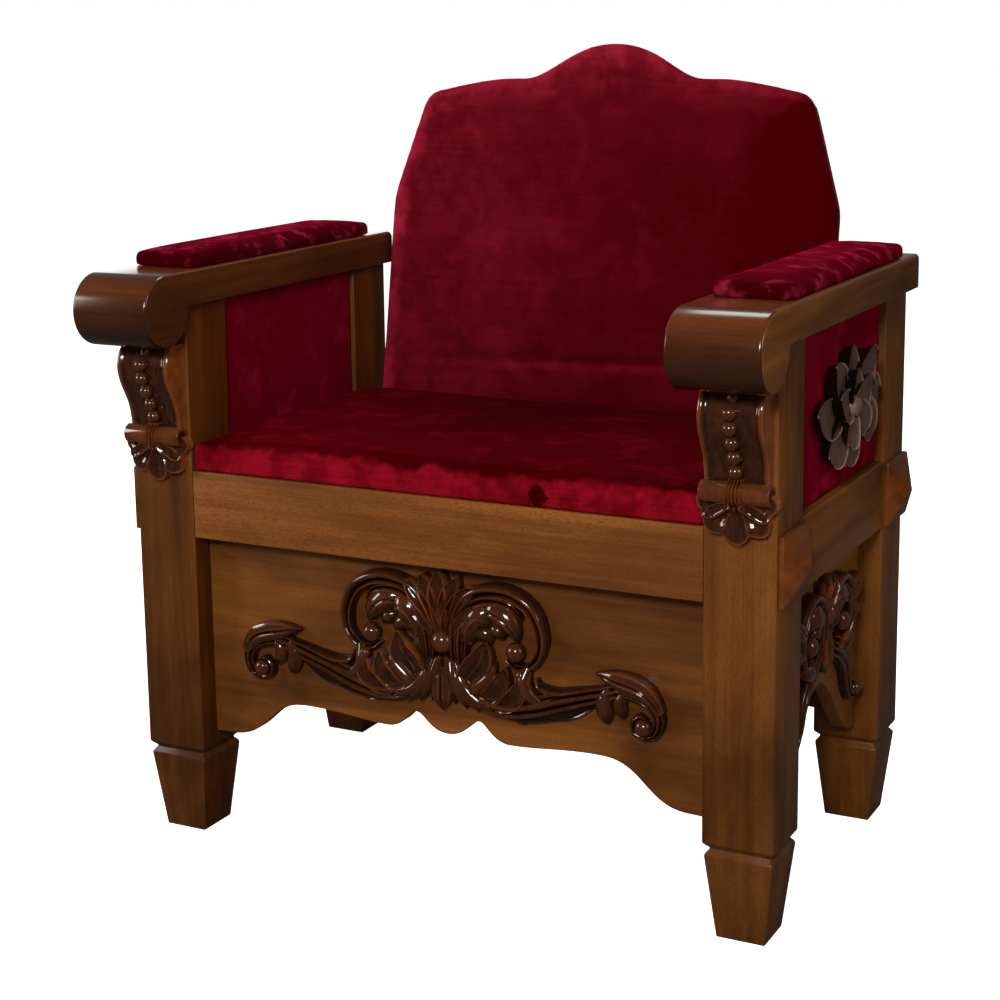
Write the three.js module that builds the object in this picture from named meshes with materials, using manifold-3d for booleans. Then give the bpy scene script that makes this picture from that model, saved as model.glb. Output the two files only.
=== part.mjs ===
// Throne: a wide armchair of varnished wood with dark carved onlays and crimson velvet.
// Millimetres, +Z up, the sitter faces -Y; right and left are as seen from the front.
// While it is built, y = 0 is the front face of the front legs; at the end the whole group
// moves so that its box is centred on the origin.

import * as THREE from 'three';
import { mergeVertices } from 'three/addons/utils/BufferGeometryUtils.js';
import Module from 'manifold-3d';

const wasm = await Module();
wasm.setup();

// ---- driving dimensions ------------------------------------------------------------------

const GAP = 0.3; // left between pieces that touch

// legs
const WIDTH = 800; // across the outer faces of the legs
const DEPTH = 454; // front face of the front legs to back face of the back legs
const LEG = 80; // square section
const FOOT_H = 96; // tapered foot below the groove
const FOOT_TOP_INSET = 1.5;
const FOOT_BASE_INSET = 12.4;
const GROOVE_H = 13.4; // V-groove between foot and leg
const GROOVE_DEEP = 7;

// frame between the legs
const RAIL_LOW = 374;
const RAIL_TOP = 454.7;
const RAIL_THICK = 28;
const APRON_THICK = 18;
const APRON_END = 126; // height of an apron's lower edge where it meets the legs
const SEAT_BOARD = 12;

// arms
const ARM_IN = 310.4; // inner and outer faces, from the middle of the throne
const ARM_OUT = 412.4;
const ARM_LOW = 649;
const ROLL_R = 42; // front roll of the arm; its top runs level into the arm's top
const ROLL_Y = -47; // roll's centre, in front of the leg
const ARM_BACK = 463.5;
const ARM_EDGE = 6; // rounding of the long edges and the roll's rim
const ARM_TAIL_R = 9; // rounding of the back end

// upholstery
const SEAT_TOP = 491;
const SEAT_BACK = 396;
const SEAT_ROUND = 12;
const ARM_PAD = { inner: 316.4, outer: 407.9, front: 17, back: 420, thick: 18.5, round: 11, corner: 16 };
const PANEL_IN = 322; // upholstered side panels, inner and outer faces
const PANEL_OUT = 394;

// backrest, drawn on a plane that leans back from the top of the back rail
const BACK_LEAN = 10.1; // degrees
const BACK_FOOT_Y = 399.6; // front face of the plane where it meets the rail's height
const BACK_LOW = 8; // lower edge, up the slope, so that its back corner clears the rail
const BACK_HALF = 309;
const BACK_WAIST = 292; // height along the slope where the sides begin to draw in
const BACK_SHOULDER = 421;
const BACK_SHOULDER_HALF = 273;
const BACK_BROW = 450.5; // level stretch between a shoulder and the middle crest
const BACK_TOP = 495;
const BACK_PAD_THICK = 30;
const BACK_ROUND = 20;
const BACK_BOARD_THICK = 18;

// ornaments
const STUD = { side: 76, slab: 6, out: 24, z: 414 }; // diamond-point studs on the legs
const CORBEL = { half: 35, top: 606, foot: 439, fillet: 5, sunk: 2.6 };
const CORBEL_ROLL = { half: 38, r: 11.5, out: 12.5, z: 497 };
const CORBEL_BEADS = { count: 5, radius: 7.4, lowest: 519.5, pitch: 16 };
const ROSETTE = { z: 548, halfLong: 116, halfHigh: 68, petals: 8 };

const WOOD = { color: 0x7a4a20, roughness: 0.42, metalness: 0 };
const DARK_WOOD = { color: 0x3e1d10, roughness: 0.28, metalness: 0 };
const CARVED = { color: 0x2a1210, roughness: 0.22, metalness: 0 };
const PLYWOOD = { color: 0xa57a4c, roughness: 0.7, metalness: 0 };
const VELVET = { color: 0x5e0512, roughness: 0.9, metalness: 0 };

const legMiddleX = (WIDTH - LEG) / 2;
const innerX = WIDTH / 2 - LEG; // inner faces of the legs
const innerFront = LEG; // facing faces of the front and back legs
const innerBack = DEPTH - LEG;
const sideMiddleY = DEPTH / 2;

// ---- geometry helpers --------------------------------------------------------------------

const throne = new THREE.Group();
throne.name = 'throne';

function addPiece(name, geometry, finish) {
  const piece = new THREE.Mesh(geometry, new THREE.MeshStandardMaterial(finish));
  piece.name = name;
  throne.add(piece);
  return piece;
}

// A closed body through rings of equal length, each ring running anticlockwise seen from the last.
function loft(rings) {
  const count = rings[0].length;
  const positions = rings.flat().flatMap((p) => [p.x, p.y, p.z]);
  const index = [];
  for (let r = 0; r < rings.length - 1; r += 1) {
    for (let i = 0; i < count; i += 1) {
      const a = r * count + i;
      const b = r * count + ((i + 1) % count);
      index.push(a, b, b + count, a, b + count, a + count);
    }
  }
  const capOf = (ring, start, flip) => {
    const origin = ring[0];
    const across = new THREE.Vector3().subVectors(ring[1], origin).normalize();
    const normal = new THREE.Vector3();
    ring.forEach((p, i) => {
      const q = ring[(i + 1) % count];
      normal.add(new THREE.Vector3().crossVectors(p, q));
    });
    normal.normalize();
    const up = new THREE.Vector3().crossVectors(normal, across);
    const flat = ring.map((p) => {
      const d = new THREE.Vector3().subVectors(p, origin);
      return new THREE.Vector2(d.dot(across), d.dot(up));
    });
    THREE.ShapeUtils.triangulateShape(flat, []).forEach(([a, b, c]) => {
      index.push(start + a, start + (flip ? c : b), start + (flip ? b : c));
    });
  };
  capOf(rings[0], 0, true);
  capOf(rings[rings.length - 1], (rings.length - 1) * count, false);
  const geometry = new THREE.BufferGeometry();
  geometry.setAttribute('position', new THREE.Float32BufferAttribute(positions, 3));
  geometry.setIndex(index);
  return geometry;
}

function toManifold(geometry) {
  const bare = geometry.clone();
  bare.deleteAttribute('normal');
  bare.deleteAttribute('uv');
  const merged = mergeVertices(bare, 1e-4);
  const mesh = new wasm.Mesh({
    numProp: 3,
    vertProperties: new Float32Array(merged.attributes.position.array),
    triVerts: new Uint32Array(merged.index.array),
  });
  return new wasm.Manifold(mesh);
}

function toGeometry(manifold) {
  const mesh = manifold.getMesh();
  const geometry = new THREE.BufferGeometry();
  geometry.setAttribute('position', new THREE.BufferAttribute(new Float32Array(mesh.vertProperties), 3));
  geometry.setIndex(new THREE.BufferAttribute(new Uint32Array(mesh.triVerts), 1));
  return geometry;
}

function fuse(geometries) {
  return geometries.map(toManifold).reduce((whole, part) => whole.add(part));
}

// Joins the parts of one ornament and cuts them off flat along the board they are glued to.
function carve(geometries) {
  const size = 2000;
  const below = new THREE.BoxGeometry(size, size, size).translate(0, 0, -size / 2);
  return toGeometry(fuse(geometries).subtract(toManifold(below)));
}

function box(x0, x1, y0, y1, z0, z1) {
  const block = new THREE.BoxGeometry(x1 - x0, y1 - y0, z1 - z0);
  return block.translate((x0 + x1) / 2, (y0 + y1) / 2, (z0 + z1) / 2);
}

function extrude(shape, depth, options = {}) {
  return new THREE.ExtrudeGeometry(shape, { depth, bevelEnabled: false, curveSegments: 5, ...options });
}

function rectangleRing(x0, x1, y0, y1, z) {
  return [[x0, y0], [x1, y0], [x1, y1], [x0, y1]].map(([x, y]) => new THREE.Vector3(x, y, z));
}

function roundedRectangle(x0, x1, y0, y1, radius, segments = 3) {
  const corners = [[x1 - radius, y0 + radius], [x1 - radius, y1 - radius],
    [x0 + radius, y1 - radius], [x0 + radius, y0 + radius]];
  return corners.flatMap(([cx, cy], corner) => Array.from({ length: segments + 1 }, (_, i) => {
    const angle = ((corner - 1 + i / segments) * Math.PI) / 2;
    return new THREE.Vector2(cx + radius * Math.cos(angle), cy + radius * Math.sin(angle));
  }));
}

// Each corner of a loop moved inwards by a distance, square to the loop's direction there.
function insetLoop(loop, distance) {
  return loop.map((point, i) => {
    const before = loop[(i + loop.length - 1) % loop.length];
    const after = loop[(i + 1) % loop.length];
    const a = new THREE.Vector2().subVectors(point, before).normalize();
    const b = new THREE.Vector2().subVectors(after, point).normalize();
    const inward = new THREE.Vector2(-(a.y + b.y), a.x + b.x).normalize();
    const stretch = 1 / Math.max(0.5, inward.dot(new THREE.Vector2(-a.y, a.x)));
    return point.clone().addScaledVector(inward, distance * stretch);
  });
}

// A slab with a rounded upper edge: the loop rises straight, then draws in along a quarter circle.
function cushion(loop, low, top, round, steps = 3) {
  const ringAt = (inset, z) => insetLoop(loop, inset).map((p) => new THREE.Vector3(p.x, p.y, z));
  const rings = [ringAt(0, low)];
  for (let i = 0; i <= steps; i += 1) {
    const angle = (i / steps) * (Math.PI / 2);
    rings.push(ringAt(round * (1 - Math.cos(angle)), top - round * (1 - Math.sin(angle))));
  }
  return loft(rings);
}

// ---- carving helpers ---------------------------------------------------------------------
// Ornaments are drawn flat: x across, y up the board, z out of the board.

// Sections of a carved bar, from edge to edge: across in half widths, up in heights.
const RIDGED = [[-1, 0], [0, 1], [1, 0]];
const PLUMP = [[-1, 0], [-0.72, 0.9], [0.72, 0.9], [1, 0]];

// A carved bar along a curve. width and height are functions of t, 0 at the start and 1 at the end.
function strand(points, width, height, { steps = 3, section = RIDGED } = {}) {
  const sunk = -1; // the bar starts a little below the board's face and is cut off flat there
  const line = points.map(([x, y]) => new THREE.Vector3(x, y, 0));
  const curve = new THREE.CatmullRomCurve3(line, false, 'centripetal');
  const rings = [];
  for (let i = 0; i <= steps; i += 1) {
    const t = (Math.sin((i / steps) * (Math.PI / 2)) + i / steps) / 2; // closer steps at the tip
    const centre = curve.getPoint(t);
    const along = curve.getTangent(t);
    const side = new THREE.Vector3(along.y, -along.x, 0);
    const half = Math.max(width(t) / 2, 0.6);
    const rise = height(t) - sunk;
    rings.push(section.map(([across, up]) => new THREE.Vector3(
      centre.x + side.x * half * across,
      centre.y + side.y * half * across,
      sunk + rise * up,
    )));
  }
  return loft(rings);
}

const taper = (start, end) => (t) => start + (end - start) * t;

// A leaf or petal: narrow at the root, widest where belly says, rounded off at the tip.
function leafWidth(widest, belly = 0.6, root = 0.3) {
  return (t) => {
    if (t < belly) {
      return widest * (root + (1 - root) * Math.sin((t / belly) * (Math.PI / 2)));
    }
    const past = (t - belly) / (1 - belly);
    return widest * Math.sqrt(Math.max(0, 1 - past * past));
  };
}

function bead(x, y, radius, rise, detail = 7) {
  const ball = new THREE.SphereGeometry(radius, detail, 4).rotateX(Math.PI / 2);
  return ball.scale(1, 1, rise / radius).translate(x, y, 0);
}

const mirrored = (points) => points.map(([x, y]) => [-x, y]);
const bothSides = (points, make) => [make(points), make(mirrored(points))];
const bothBeads = (x, y, radius, rise) => [bead(x, y, radius, rise), bead(-x, y, radius, rise)];

// The parts of one symmetrical ornament: bars and leaves come in pairs, fans open upwards.
function ornament() {
  const parts = [];
  const pair = (points, width, height, options) => {
    parts.push(...bothSides(points, (path) => strand(path, width, height, options)));
  };
  const leaf = (points, widest, height, belly = 0.55) => {
    pair(points, leafWidth(widest, belly), () => height);
  };
  // blades are [degrees from upright, length, width]; bend keeps a blade upright near its root
  const fan = (hub, blades, height, bend) => {
    blades.forEach(([degrees, length, wide]) => {
      const turned = THREE.MathUtils.degToRad(degrees);
      const path = [0.15, 0.5, 1].map((s) => {
        const angle = turned * (1 - bend + bend * s);
        return [Math.sin(angle) * length * s, hub + Math.cos(angle) * length * s];
      });
      const blade = (way) => strand(way, leafWidth(wide, 0.7), () => height);
      parts.push(...(degrees ? bothSides(path, blade) : [blade(path)]));
    });
  };
  return { parts, pair, leaf, fan };
}

// ---- pieces ------------------------------------------------------------------------------

function makeLegs() {
  const sides = { right: 1, left: -1 };
  const rows = { front: LEG / 2, back: DEPTH - LEG / 2 };
  const sections = [
    [0, FOOT_BASE_INSET],
    [FOOT_H, FOOT_TOP_INSET],
    [FOOT_H + GROOVE_H / 2, GROOVE_DEEP],
    [FOOT_H + GROOVE_H, 0],
    [ARM_LOW - GAP, 0],
  ];
  Object.entries(rows).forEach(([row, y]) => {
    Object.entries(sides).forEach(([side, sign]) => {
      const x = sign * legMiddleX;
      const rings = sections.map(([z, inset]) => {
        const half = LEG / 2 - inset;
        return rectangleRing(x - half, x + half, y - half, y + half, z);
      });
      addPiece(`${row}_leg_${side}`, loft(rings), WOOD);
    });
  });
}

function makeRails() {
  const between = innerX - GAP;
  addPiece('front_rail', box(-between, between, 0, RAIL_THICK - GAP, RAIL_LOW, RAIL_TOP), WOOD);
  const backFace = DEPTH - RAIL_THICK + GAP;
  addPiece('back_rail', box(-between, between, backFace, DEPTH, RAIL_LOW, RAIL_TOP), WOOD);
  const inner = WIDTH / 2 - RAIL_THICK + GAP;
  const outer = WIDTH / 2;
  const y0 = innerFront + GAP;
  const y1 = innerBack - GAP;
  addPiece('side_rail_right', box(inner, outer, y0, y1, RAIL_LOW, RAIL_TOP), WOOD);
  addPiece('side_rail_left', box(-outer, -inner, y0, y1, RAIL_LOW, RAIL_TOP), WOOD);
}

// Front and back aprons: level at the ends, an ogee rise, a long shallow sag, then two cusps
// either side of a middle lobe.
function wideApronShape() {
  const half = innerX - GAP;
  const shape = new THREE.Shape();
  shape.moveTo(half, RAIL_TOP);
  shape.lineTo(-half, RAIL_TOP);
  shape.lineTo(-half, APRON_END);
  shape.lineTo(-290, APRON_END + 1);
  shape.bezierCurveTo(-245, APRON_END + 4, -240, 174, -195, 176);
  shape.bezierCurveTo(-150, 178, -110, 169, -76, 170);
  shape.bezierCurveTo(-56, 172, -48, 192, -41, 192);
  shape.bezierCurveTo(-30, 192, -24, 171, 0, 171);
  shape.bezierCurveTo(24, 171, 30, 192, 41, 192);
  shape.bezierCurveTo(48, 192, 56, 172, 76, 170);
  shape.bezierCurveTo(110, 169, 150, 178, 195, 176);
  shape.bezierCurveTo(240, 174, 245, APRON_END + 4, 290, APRON_END + 1);
  shape.lineTo(half, APRON_END);
  return shape;
}

// Side aprons: one bell-shaped arch.
function sideApronShape() {
  const half = (innerBack - innerFront) / 2 - GAP;
  const archHalf = 137;
  const archRise = 95;
  const steps = 18;
  const shape = new THREE.Shape();
  shape.moveTo(half, RAIL_TOP);
  shape.lineTo(-half, RAIL_TOP);
  shape.lineTo(-half, APRON_END);
  for (let i = 0; i <= steps; i += 1) {
    const x = archHalf * ((2 * i) / steps - 1);
    shape.lineTo(x, APRON_END + (archRise / 2) * (1 + Math.cos((Math.PI * x) / archHalf)));
  }
  shape.lineTo(half, APRON_END);
  return shape;
}

function makeAprons() {
  const thick = APRON_THICK - GAP;
  const front = extrude(wideApronShape(), thick).rotateX(Math.PI / 2);
  addPiece('front_apron', front.translate(0, RAIL_THICK + thick, 0), WOOD);
  const back = extrude(wideApronShape(), thick).rotateX(Math.PI / 2);
  addPiece('back_apron', back.translate(0, DEPTH - RAIL_THICK, 0), WOOD);
  const outer = WIDTH / 2 - RAIL_THICK;
  const stand = () => extrude(sideApronShape(), thick).rotateX(Math.PI / 2).rotateZ(Math.PI / 2);
  addPiece('side_apron_right', stand().translate(outer - thick, sideMiddleY, 0), WOOD);
  addPiece('side_apron_left', stand().translate(-outer, sideMiddleY, 0), WOOD);
}

// A plywood board let in between the aprons, notched round the four legs.
function makeSeatBoard() {
  const x1 = WIDTH / 2 - RAIL_THICK - APRON_THICK - GAP;
  const x0 = innerX - GAP;
  const y0 = RAIL_THICK + APRON_THICK + GAP;
  const y1 = innerFront + GAP;
  const outline = [[-x0, y0], [x0, y0], [x0, y1], [x1, y1], [x1, DEPTH - y1], [x0, DEPTH - y1],
    [x0, DEPTH - y0], [-x0, DEPTH - y0], [-x0, DEPTH - y1], [-x1, DEPTH - y1], [-x1, y1], [-x0, y1]];
  const shape = new THREE.Shape(outline.map(([x, y]) => new THREE.Vector2(x, y)));
  addPiece('seat_board', extrude(shape, SEAT_BOARD).translate(0, 0, RAIL_TOP - SEAT_BOARD), PLYWOOD);
}

// Arm: one plank whose front end is carved into a roll. The side view is drawn with y as x.
function armShape() {
  const inset = ARM_EDGE; // the bevel puts this back
  const top = ARM_LOW + ROLL_R - inset;
  const low = ARM_LOW + inset;
  const back = ARM_BACK - inset;
  const radius = ROLL_R - inset;
  const shape = new THREE.Shape();
  shape.moveTo(ROLL_Y, top);
  shape.absarc(ROLL_Y, ARM_LOW, radius, Math.PI / 2, 2 * Math.PI - 0.02, false);
  shape.lineTo(ROLL_Y + radius, low);
  shape.lineTo(back - 2, low);
  shape.lineTo(back, low + 2);
  shape.absarc(back - ARM_TAIL_R, top - ARM_TAIL_R, ARM_TAIL_R, 0, Math.PI / 2, false);
  return shape;
}

function makeArms() {
  const length = ARM_OUT - ARM_IN - 2 * ARM_EDGE;
  const options = {
    bevelEnabled: true,
    bevelSize: ARM_EDGE,
    bevelThickness: ARM_EDGE,
    bevelSegments: 2,
    curveSegments: 9,
  };
  const arm = () => extrude(armShape(), length, options).rotateX(Math.PI / 2).rotateZ(Math.PI / 2);
  addPiece('arm_right', arm().translate(ARM_IN + ARM_EDGE, 0, 0), DARK_WOOD);
  addPiece('arm_left', arm().translate(-ARM_OUT + ARM_EDGE, 0, 0), DARK_WOOD);
}

function makeArmPads() {
  const { inner, outer, front, back, thick, round, corner } = ARM_PAD;
  const low = ARM_LOW + ROLL_R + GAP;
  const pad = (x0, x1) => cushion(roundedRectangle(x0, x1, front, back, corner), low, low + thick, round);
  addPiece('arm_pad_right', pad(inner, outer), VELVET);
  addPiece('arm_pad_left', pad(-outer, -inner), VELVET);
}

function makeSeatCushion() {
  const half = innerX - GAP;
  const loop = roundedRectangle(-half, half, GAP, SEAT_BACK, SEAT_ROUND + 2);
  addPiece('seat_cushion', cushion(loop, RAIL_TOP + GAP, SEAT_TOP, SEAT_ROUND), VELVET);
}

function makeSidePanels() {
  const y0 = innerFront + GAP;
  const y1 = innerBack - GAP;
  const z0 = RAIL_TOP + GAP;
  const z1 = ARM_LOW - GAP;
  addPiece('side_panel_right', box(PANEL_IN, PANEL_OUT, y0, y1, z0, z1), VELVET);
  addPiece('side_panel_left', box(-PANEL_OUT, -PANEL_IN, y0, y1, z0, z1), VELVET);
}

// Outline of the backrest on its own leaning plane: x across, y up the slope.
function backLoop() {
  const shape = new THREE.Shape();
  shape.moveTo(-BACK_HALF, BACK_LOW);
  shape.lineTo(BACK_HALF, BACK_LOW);
  shape.lineTo(BACK_HALF, BACK_WAIST - 12);
  shape.quadraticCurveTo(BACK_HALF, BACK_WAIST, BACK_HALF - 4, BACK_WAIST + 13);
  shape.lineTo(BACK_SHOULDER_HALF, BACK_SHOULDER - 12);
  shape.quadraticCurveTo(BACK_SHOULDER_HALF - 6, BACK_SHOULDER + 12, 246, BACK_BROW - 15.5);
  shape.quadraticCurveTo(170, BACK_BROW, 150, BACK_BROW);
  shape.lineTo(124, BACK_BROW);
  shape.bezierCurveTo(88, BACK_BROW, 62, BACK_TOP, 0, BACK_TOP);
  shape.bezierCurveTo(-62, BACK_TOP, -88, BACK_BROW, -124, BACK_BROW);
  shape.lineTo(-150, BACK_BROW);
  shape.quadraticCurveTo(-170, BACK_BROW, -246, BACK_BROW - 15.5);
  shape.quadraticCurveTo(6 - BACK_SHOULDER_HALF, BACK_SHOULDER + 12, -BACK_SHOULDER_HALF, BACK_SHOULDER - 12);
  shape.lineTo(4 - BACK_HALF, BACK_WAIST + 13);
  shape.quadraticCurveTo(-BACK_HALF, BACK_WAIST, -BACK_HALF, BACK_WAIST - 12);
  return shape.extractPoints(4).shape;
}

// Stands the drawn plane up, leaning back, with its drawn z pointing at the sitter.
function leanBack(geometry, out) {
  geometry.translate(0, 0, out);
  geometry.rotateX(Math.PI / 2 - THREE.MathUtils.degToRad(BACK_LEAN));
  return geometry.translate(0, BACK_FOOT_Y, RAIL_TOP);
}

function makeBackrest() {
  const loop = backLoop();
  const pad = cushion(loop, -BACK_PAD_THICK, 0, BACK_ROUND, 2);
  addPiece('back_cushion', leanBack(pad, 0), VELVET);
  const board = new THREE.Shape(insetLoop(loop, 5));
  const behind = -BACK_PAD_THICK - GAP - BACK_BOARD_THICK;
  addPiece('back_board', leanBack(extrude(board, BACK_BOARD_THICK), behind), DARK_WOOD);
}

// Diamond-point studs on the outer faces of the legs, level with the rails.
function makeStuds() {
  const { side, slab, out, z } = STUD;
  const half = side / 2;
  const square = (inset, up) => rectangleRing(-half + inset, half - inset, -half + inset, half - inset, up);
  const stud = () => loft([square(0, 0), square(0, slab), square(half - 0.4, out)]);
  const rows = { front: LEG / 2, back: DEPTH - LEG / 2 };
  Object.entries(rows).forEach(([row, y]) => {
    const x = WIDTH / 2 + GAP;
    addPiece(`${row}_stud_right`, stud().rotateY(Math.PI / 2).translate(x, y, z), DARK_WOOD);
    addPiece(`${row}_stud_left`, stud().rotateY(-Math.PI / 2).translate(-x, y, z), DARK_WOOD);
  });
}

// How far the corbel's front stands out at a height: a full bulge above, drawn in to the roll.
function corbelOut(z) {
  const points = [[CORBEL.top, 22], [598, 29], [588, 33.5], [576, 35], [562, 31.5], [546, 23.5],
    [530, 16], [512, 12.5]];
  for (let i = 1; i < points.length; i += 1) {
    const [z1, out1] = points[i];
    const [z0, out0] = points[i - 1];
    if (z >= z1) {
      return out1 + ((out0 - out1) * (z - z1)) / (z0 - z1);
    }
  }
  return points[points.length - 1][1];
}

// Carved bracket under the arm's roll: an S-shaped tongue with a string of beads down its
// channel, a small cross roll, and a shell gathered through a knot below it.
function corbelGeometry() {
  const { half, top, foot, fillet, sunk } = CORBEL;
  const tongueFoot = CORBEL_ROLL.z + 4;
  const profile = (lower) => {
    const shape = new THREE.Shape();
    shape.moveTo(0, tongueFoot);
    const steps = 7;
    for (let i = 0; i <= steps; i += 1) {
      const z = tongueFoot + ((top - tongueFoot) * i) / steps;
      shape.lineTo(corbelOut(z) - lower, z);
    }
    shape.lineTo(0, top);
    return shape;
  };
  // drawn with x out and y up, extruded across; turned so that x is across, y up, z out
  const turn = (geometry, x) => geometry.rotateY(-Math.PI / 2).translate(x, 0, 0);
  const parts = [
    turn(extrude(profile(sunk), 2 * half - 2), half - 1),
    turn(extrude(profile(0), fillet), half),
    turn(extrude(profile(0), fillet), -half + fillet),
  ];
  const { half: rollHalf, r, out, z: rollZ } = CORBEL_ROLL;
  const roll = new THREE.CylinderGeometry(r, r, 2 * rollHalf, 10);
  parts.push(roll.rotateZ(Math.PI / 2).translate(0, rollZ, out));
  const { count, radius, lowest, pitch } = CORBEL_BEADS;
  for (let i = 0; i < count; i += 1) {
    const z = lowest + pitch * i;
    const ball = new THREE.SphereGeometry(radius, 6, 4);
    parts.push(ball.translate(0, z, corbelOut(z) - sunk + radius * 0.45));
  }
  const knot = new THREE.SphereGeometry(1, 8, 6);
  parts.push(knot.scale(11, 17, 15).translate(0, rollZ - 2, out));
  // the shell's ribs fan out from the knot: degrees from straight down, length, width
  const ribs = [[14, 57, 19], [43, 52, 19], [76, 41, 17]];
  const hub = foot + 58;
  ribs.forEach(([angle, length, wide]) => {
    const turned = THREE.MathUtils.degToRad(angle);
    const reach = [0.12, 0.45, 0.8, 1].map((s) => {
      const bent = turned * (0.75 + 0.25 * s);
      return [Math.sin(bent) * length * s, hub - Math.cos(bent) * length * s];
    });
    parts.push(...bothSides(reach, (path) => strand(path, leafWidth(wide, 0.72, 0.4), taper(13, 9))));
  });
  return carve(parts);
}

function makeCorbels() {
  const stand = () => corbelGeometry().rotateX(Math.PI / 2);
  addPiece('corbel_right', stand().translate(legMiddleX, -GAP, 0), CARVED);
  addPiece('corbel_left', stand().translate(-legMiddleX, -GAP, 0), CARVED);
}

// Oval rosette: a ring of long petals, a smaller ring over it, and a button in the middle.
function rosetteGeometry() {
  const { halfLong, halfHigh, petals } = ROSETTE;
  const parts = [];
  const ring = (count, reach, turn, widest, low, high) => {
    for (let i = 0; i < count; i += 1) {
      const angle = turn + (i * 2 * Math.PI) / count;
      const x = Math.cos(angle) * halfLong * reach;
      const y = Math.sin(angle) * halfHigh * reach;
      const swirl = 0.1;
      const path = [[0, 0], [x * 0.5 - y * swirl, y * 0.5 + x * swirl * 0.5], [x, y]];
      parts.push(strand(path, leafWidth(widest, 0.66, 0.35), taper(low, high), { section: PLUMP }));
    }
  };
  ring(petals, 1, 0, 50, 9, 10);
  ring(petals - 2, 0.62, 0.5, 34, 13, 13.5);
  parts.push(bead(0, 0, 13, 17, 8));
  return carve(parts);
}

function makeRosettes() {
  const stand = () => rosetteGeometry().rotateX(Math.PI / 2);
  const x = PANEL_OUT + GAP;
  addPiece('rosette_right', stand().rotateZ(Math.PI / 2).translate(x, sideMiddleY, ROSETTE.z), CARVED);
  addPiece('rosette_left', stand().rotateZ(-Math.PI / 2).translate(-x, sideMiddleY, ROSETTE.z), CARVED);
}

// Front onlay: two C-scrolls back to back with acanthus leaves, and a long tail to each side
// that ends in a curl with a ball. Heights are measured from the floor.
function frontOnlayGeometry() {
  const { parts, pair, leaf, fan } = ornament();
  const middle = 284; // height of the middle ball
  // C-scrolls, from the foot of the stem up and over to the curl
  const scroll = [[10, 236], [18, 264], [21, 292], [32, 320], [54, 339], [84, 341], [108, 326],
    [119, 302], [112, 277], [94, 270]];
  const swell = (t) => Math.sin(Math.PI * t);
  pair(scroll, (t) => 14 + 8 * swell(t), (t) => 12 + 3 * swell(t), { steps: 11, section: PLUMP });
  parts.push(...bothBeads(92, middle, 12.5, 15));
  leaf([[24, 296], [42, 317], [68, 317], [97, 299]], 30, 13, 0.4);
  fan(middle - 2, [[0, 84, 13], [15, 79, 13], [30, 76, 13], [45, 66, 13]], 12, 0.5);
  parts.push(bead(0, middle, 14.5, 18, 9));
  // drop of leaves below the ball
  parts.push(strand([[0, 262], [0, 236], [0, 205]], leafWidth(22, 0.6), () => 11));
  leaf([[4, 256], [20, 234], [38, 209]], 15, 10);
  // tails
  const tail = [[14, 258], [36, 228], [66, 217], [104, 224], [150, 238], [192, 252], [226, 257],
    [252, 248], [263, 230], [254, 213], [241, 212]];
  pair(tail, taper(27, 12), taper(14, 11), { steps: 12, section: PLUMP });
  parts.push(...bothBeads(245, 221, 12, 14));
  // leaves that break away from the tail
  leaf([[28, 226], [42, 254], [53, 292]], 26, 12);
  leaf([[54, 220], [70, 240], [78, 270]], 20, 12);
  leaf([[80, 222], [96, 240], [103, 263]], 20, 12);
  leaf([[36, 222], [64, 210], [98, 203]], 14, 8);
  leaf([[92, 219], [122, 216], [152, 212]], 12, 8);
  leaf([[256, 248], [226, 263], [187, 271]], 16, 10, 0.4);
  leaf([[192, 250], [198, 234], [199, 216]], 14, 9);
  leaf([[212, 254], [217, 240], [217, 225]], 11, 9);
  return carve(parts);
}

function makeFrontOnlay() {
  const onlay = frontOnlayGeometry().rotateX(Math.PI / 2);
  addPiece('front_onlay', onlay.translate(0, RAIL_THICK - GAP, 0), CARVED);
}

// Side onlay: a smaller pair of C-scrolls whose tails hang down along the arch.
function sideOnlayGeometry() {
  const { parts, pair, leaf, fan } = ornament();
  const middle = 304; // height of the middle ball
  const scroll = [[7, 260], [15, 286], [20, 314], [42, 331], [70, 323], [82, 294], [66, 268], [47, 274]];
  pair(scroll, (t) => 13 + 7 * Math.sin(Math.PI * t), () => 13, { steps: 9, section: PLUMP });
  parts.push(...bothBeads(50, 287, 11, 14));
  leaf([[16, 294], [32, 314], [56, 308]], 22, 12);
  fan(middle, [[0, 50, 15], [28, 48, 15]], 11, 0);
  parts.push(bead(0, middle, 12, 16, 8));
  parts.push(strand([[0, 292], [0, 268], [0, 240]], leafWidth(18, 0.55), () => 11));
  const tail = [[12, 276], [40, 254], [72, 240], [92, 212], [106, 182], [124, 178]];
  pair(tail, taper(20, 12), taper(12, 10), { steps: 6, section: PLUMP });
  leaf([[82, 302], [100, 312], [118, 326]], 15, 10);
  leaf([[82, 282], [100, 284], [116, 292]], 13, 9);
  return carve(parts);
}

function makeSideOnlays() {
  const stand = () => sideOnlayGeometry().rotateX(Math.PI / 2);
  const x = WIDTH / 2 - RAIL_THICK + GAP;
  addPiece('side_onlay_right', stand().rotateZ(Math.PI / 2).translate(x, sideMiddleY, 0), CARVED);
  addPiece('side_onlay_left', stand().rotateZ(-Math.PI / 2).translate(-x, sideMiddleY, 0), CARVED);
}

makeLegs();
makeRails();
makeAprons();
makeSeatBoard();
makeArms();
makeArmPads();
makeSeatCushion();
makeSidePanels();
makeBackrest();
makeStuds();
makeCorbels();
makeRosettes();
makeFrontOnlay();
makeSideOnlays();

// origin under the middle of the whole throne, on the floor
const bounds = new THREE.Box3().setFromObject(throne);
throne.position.y = -bounds.getCenter(new THREE.Vector3()).y;
throne.updateMatrixWorld(true);

export default throne;
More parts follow.
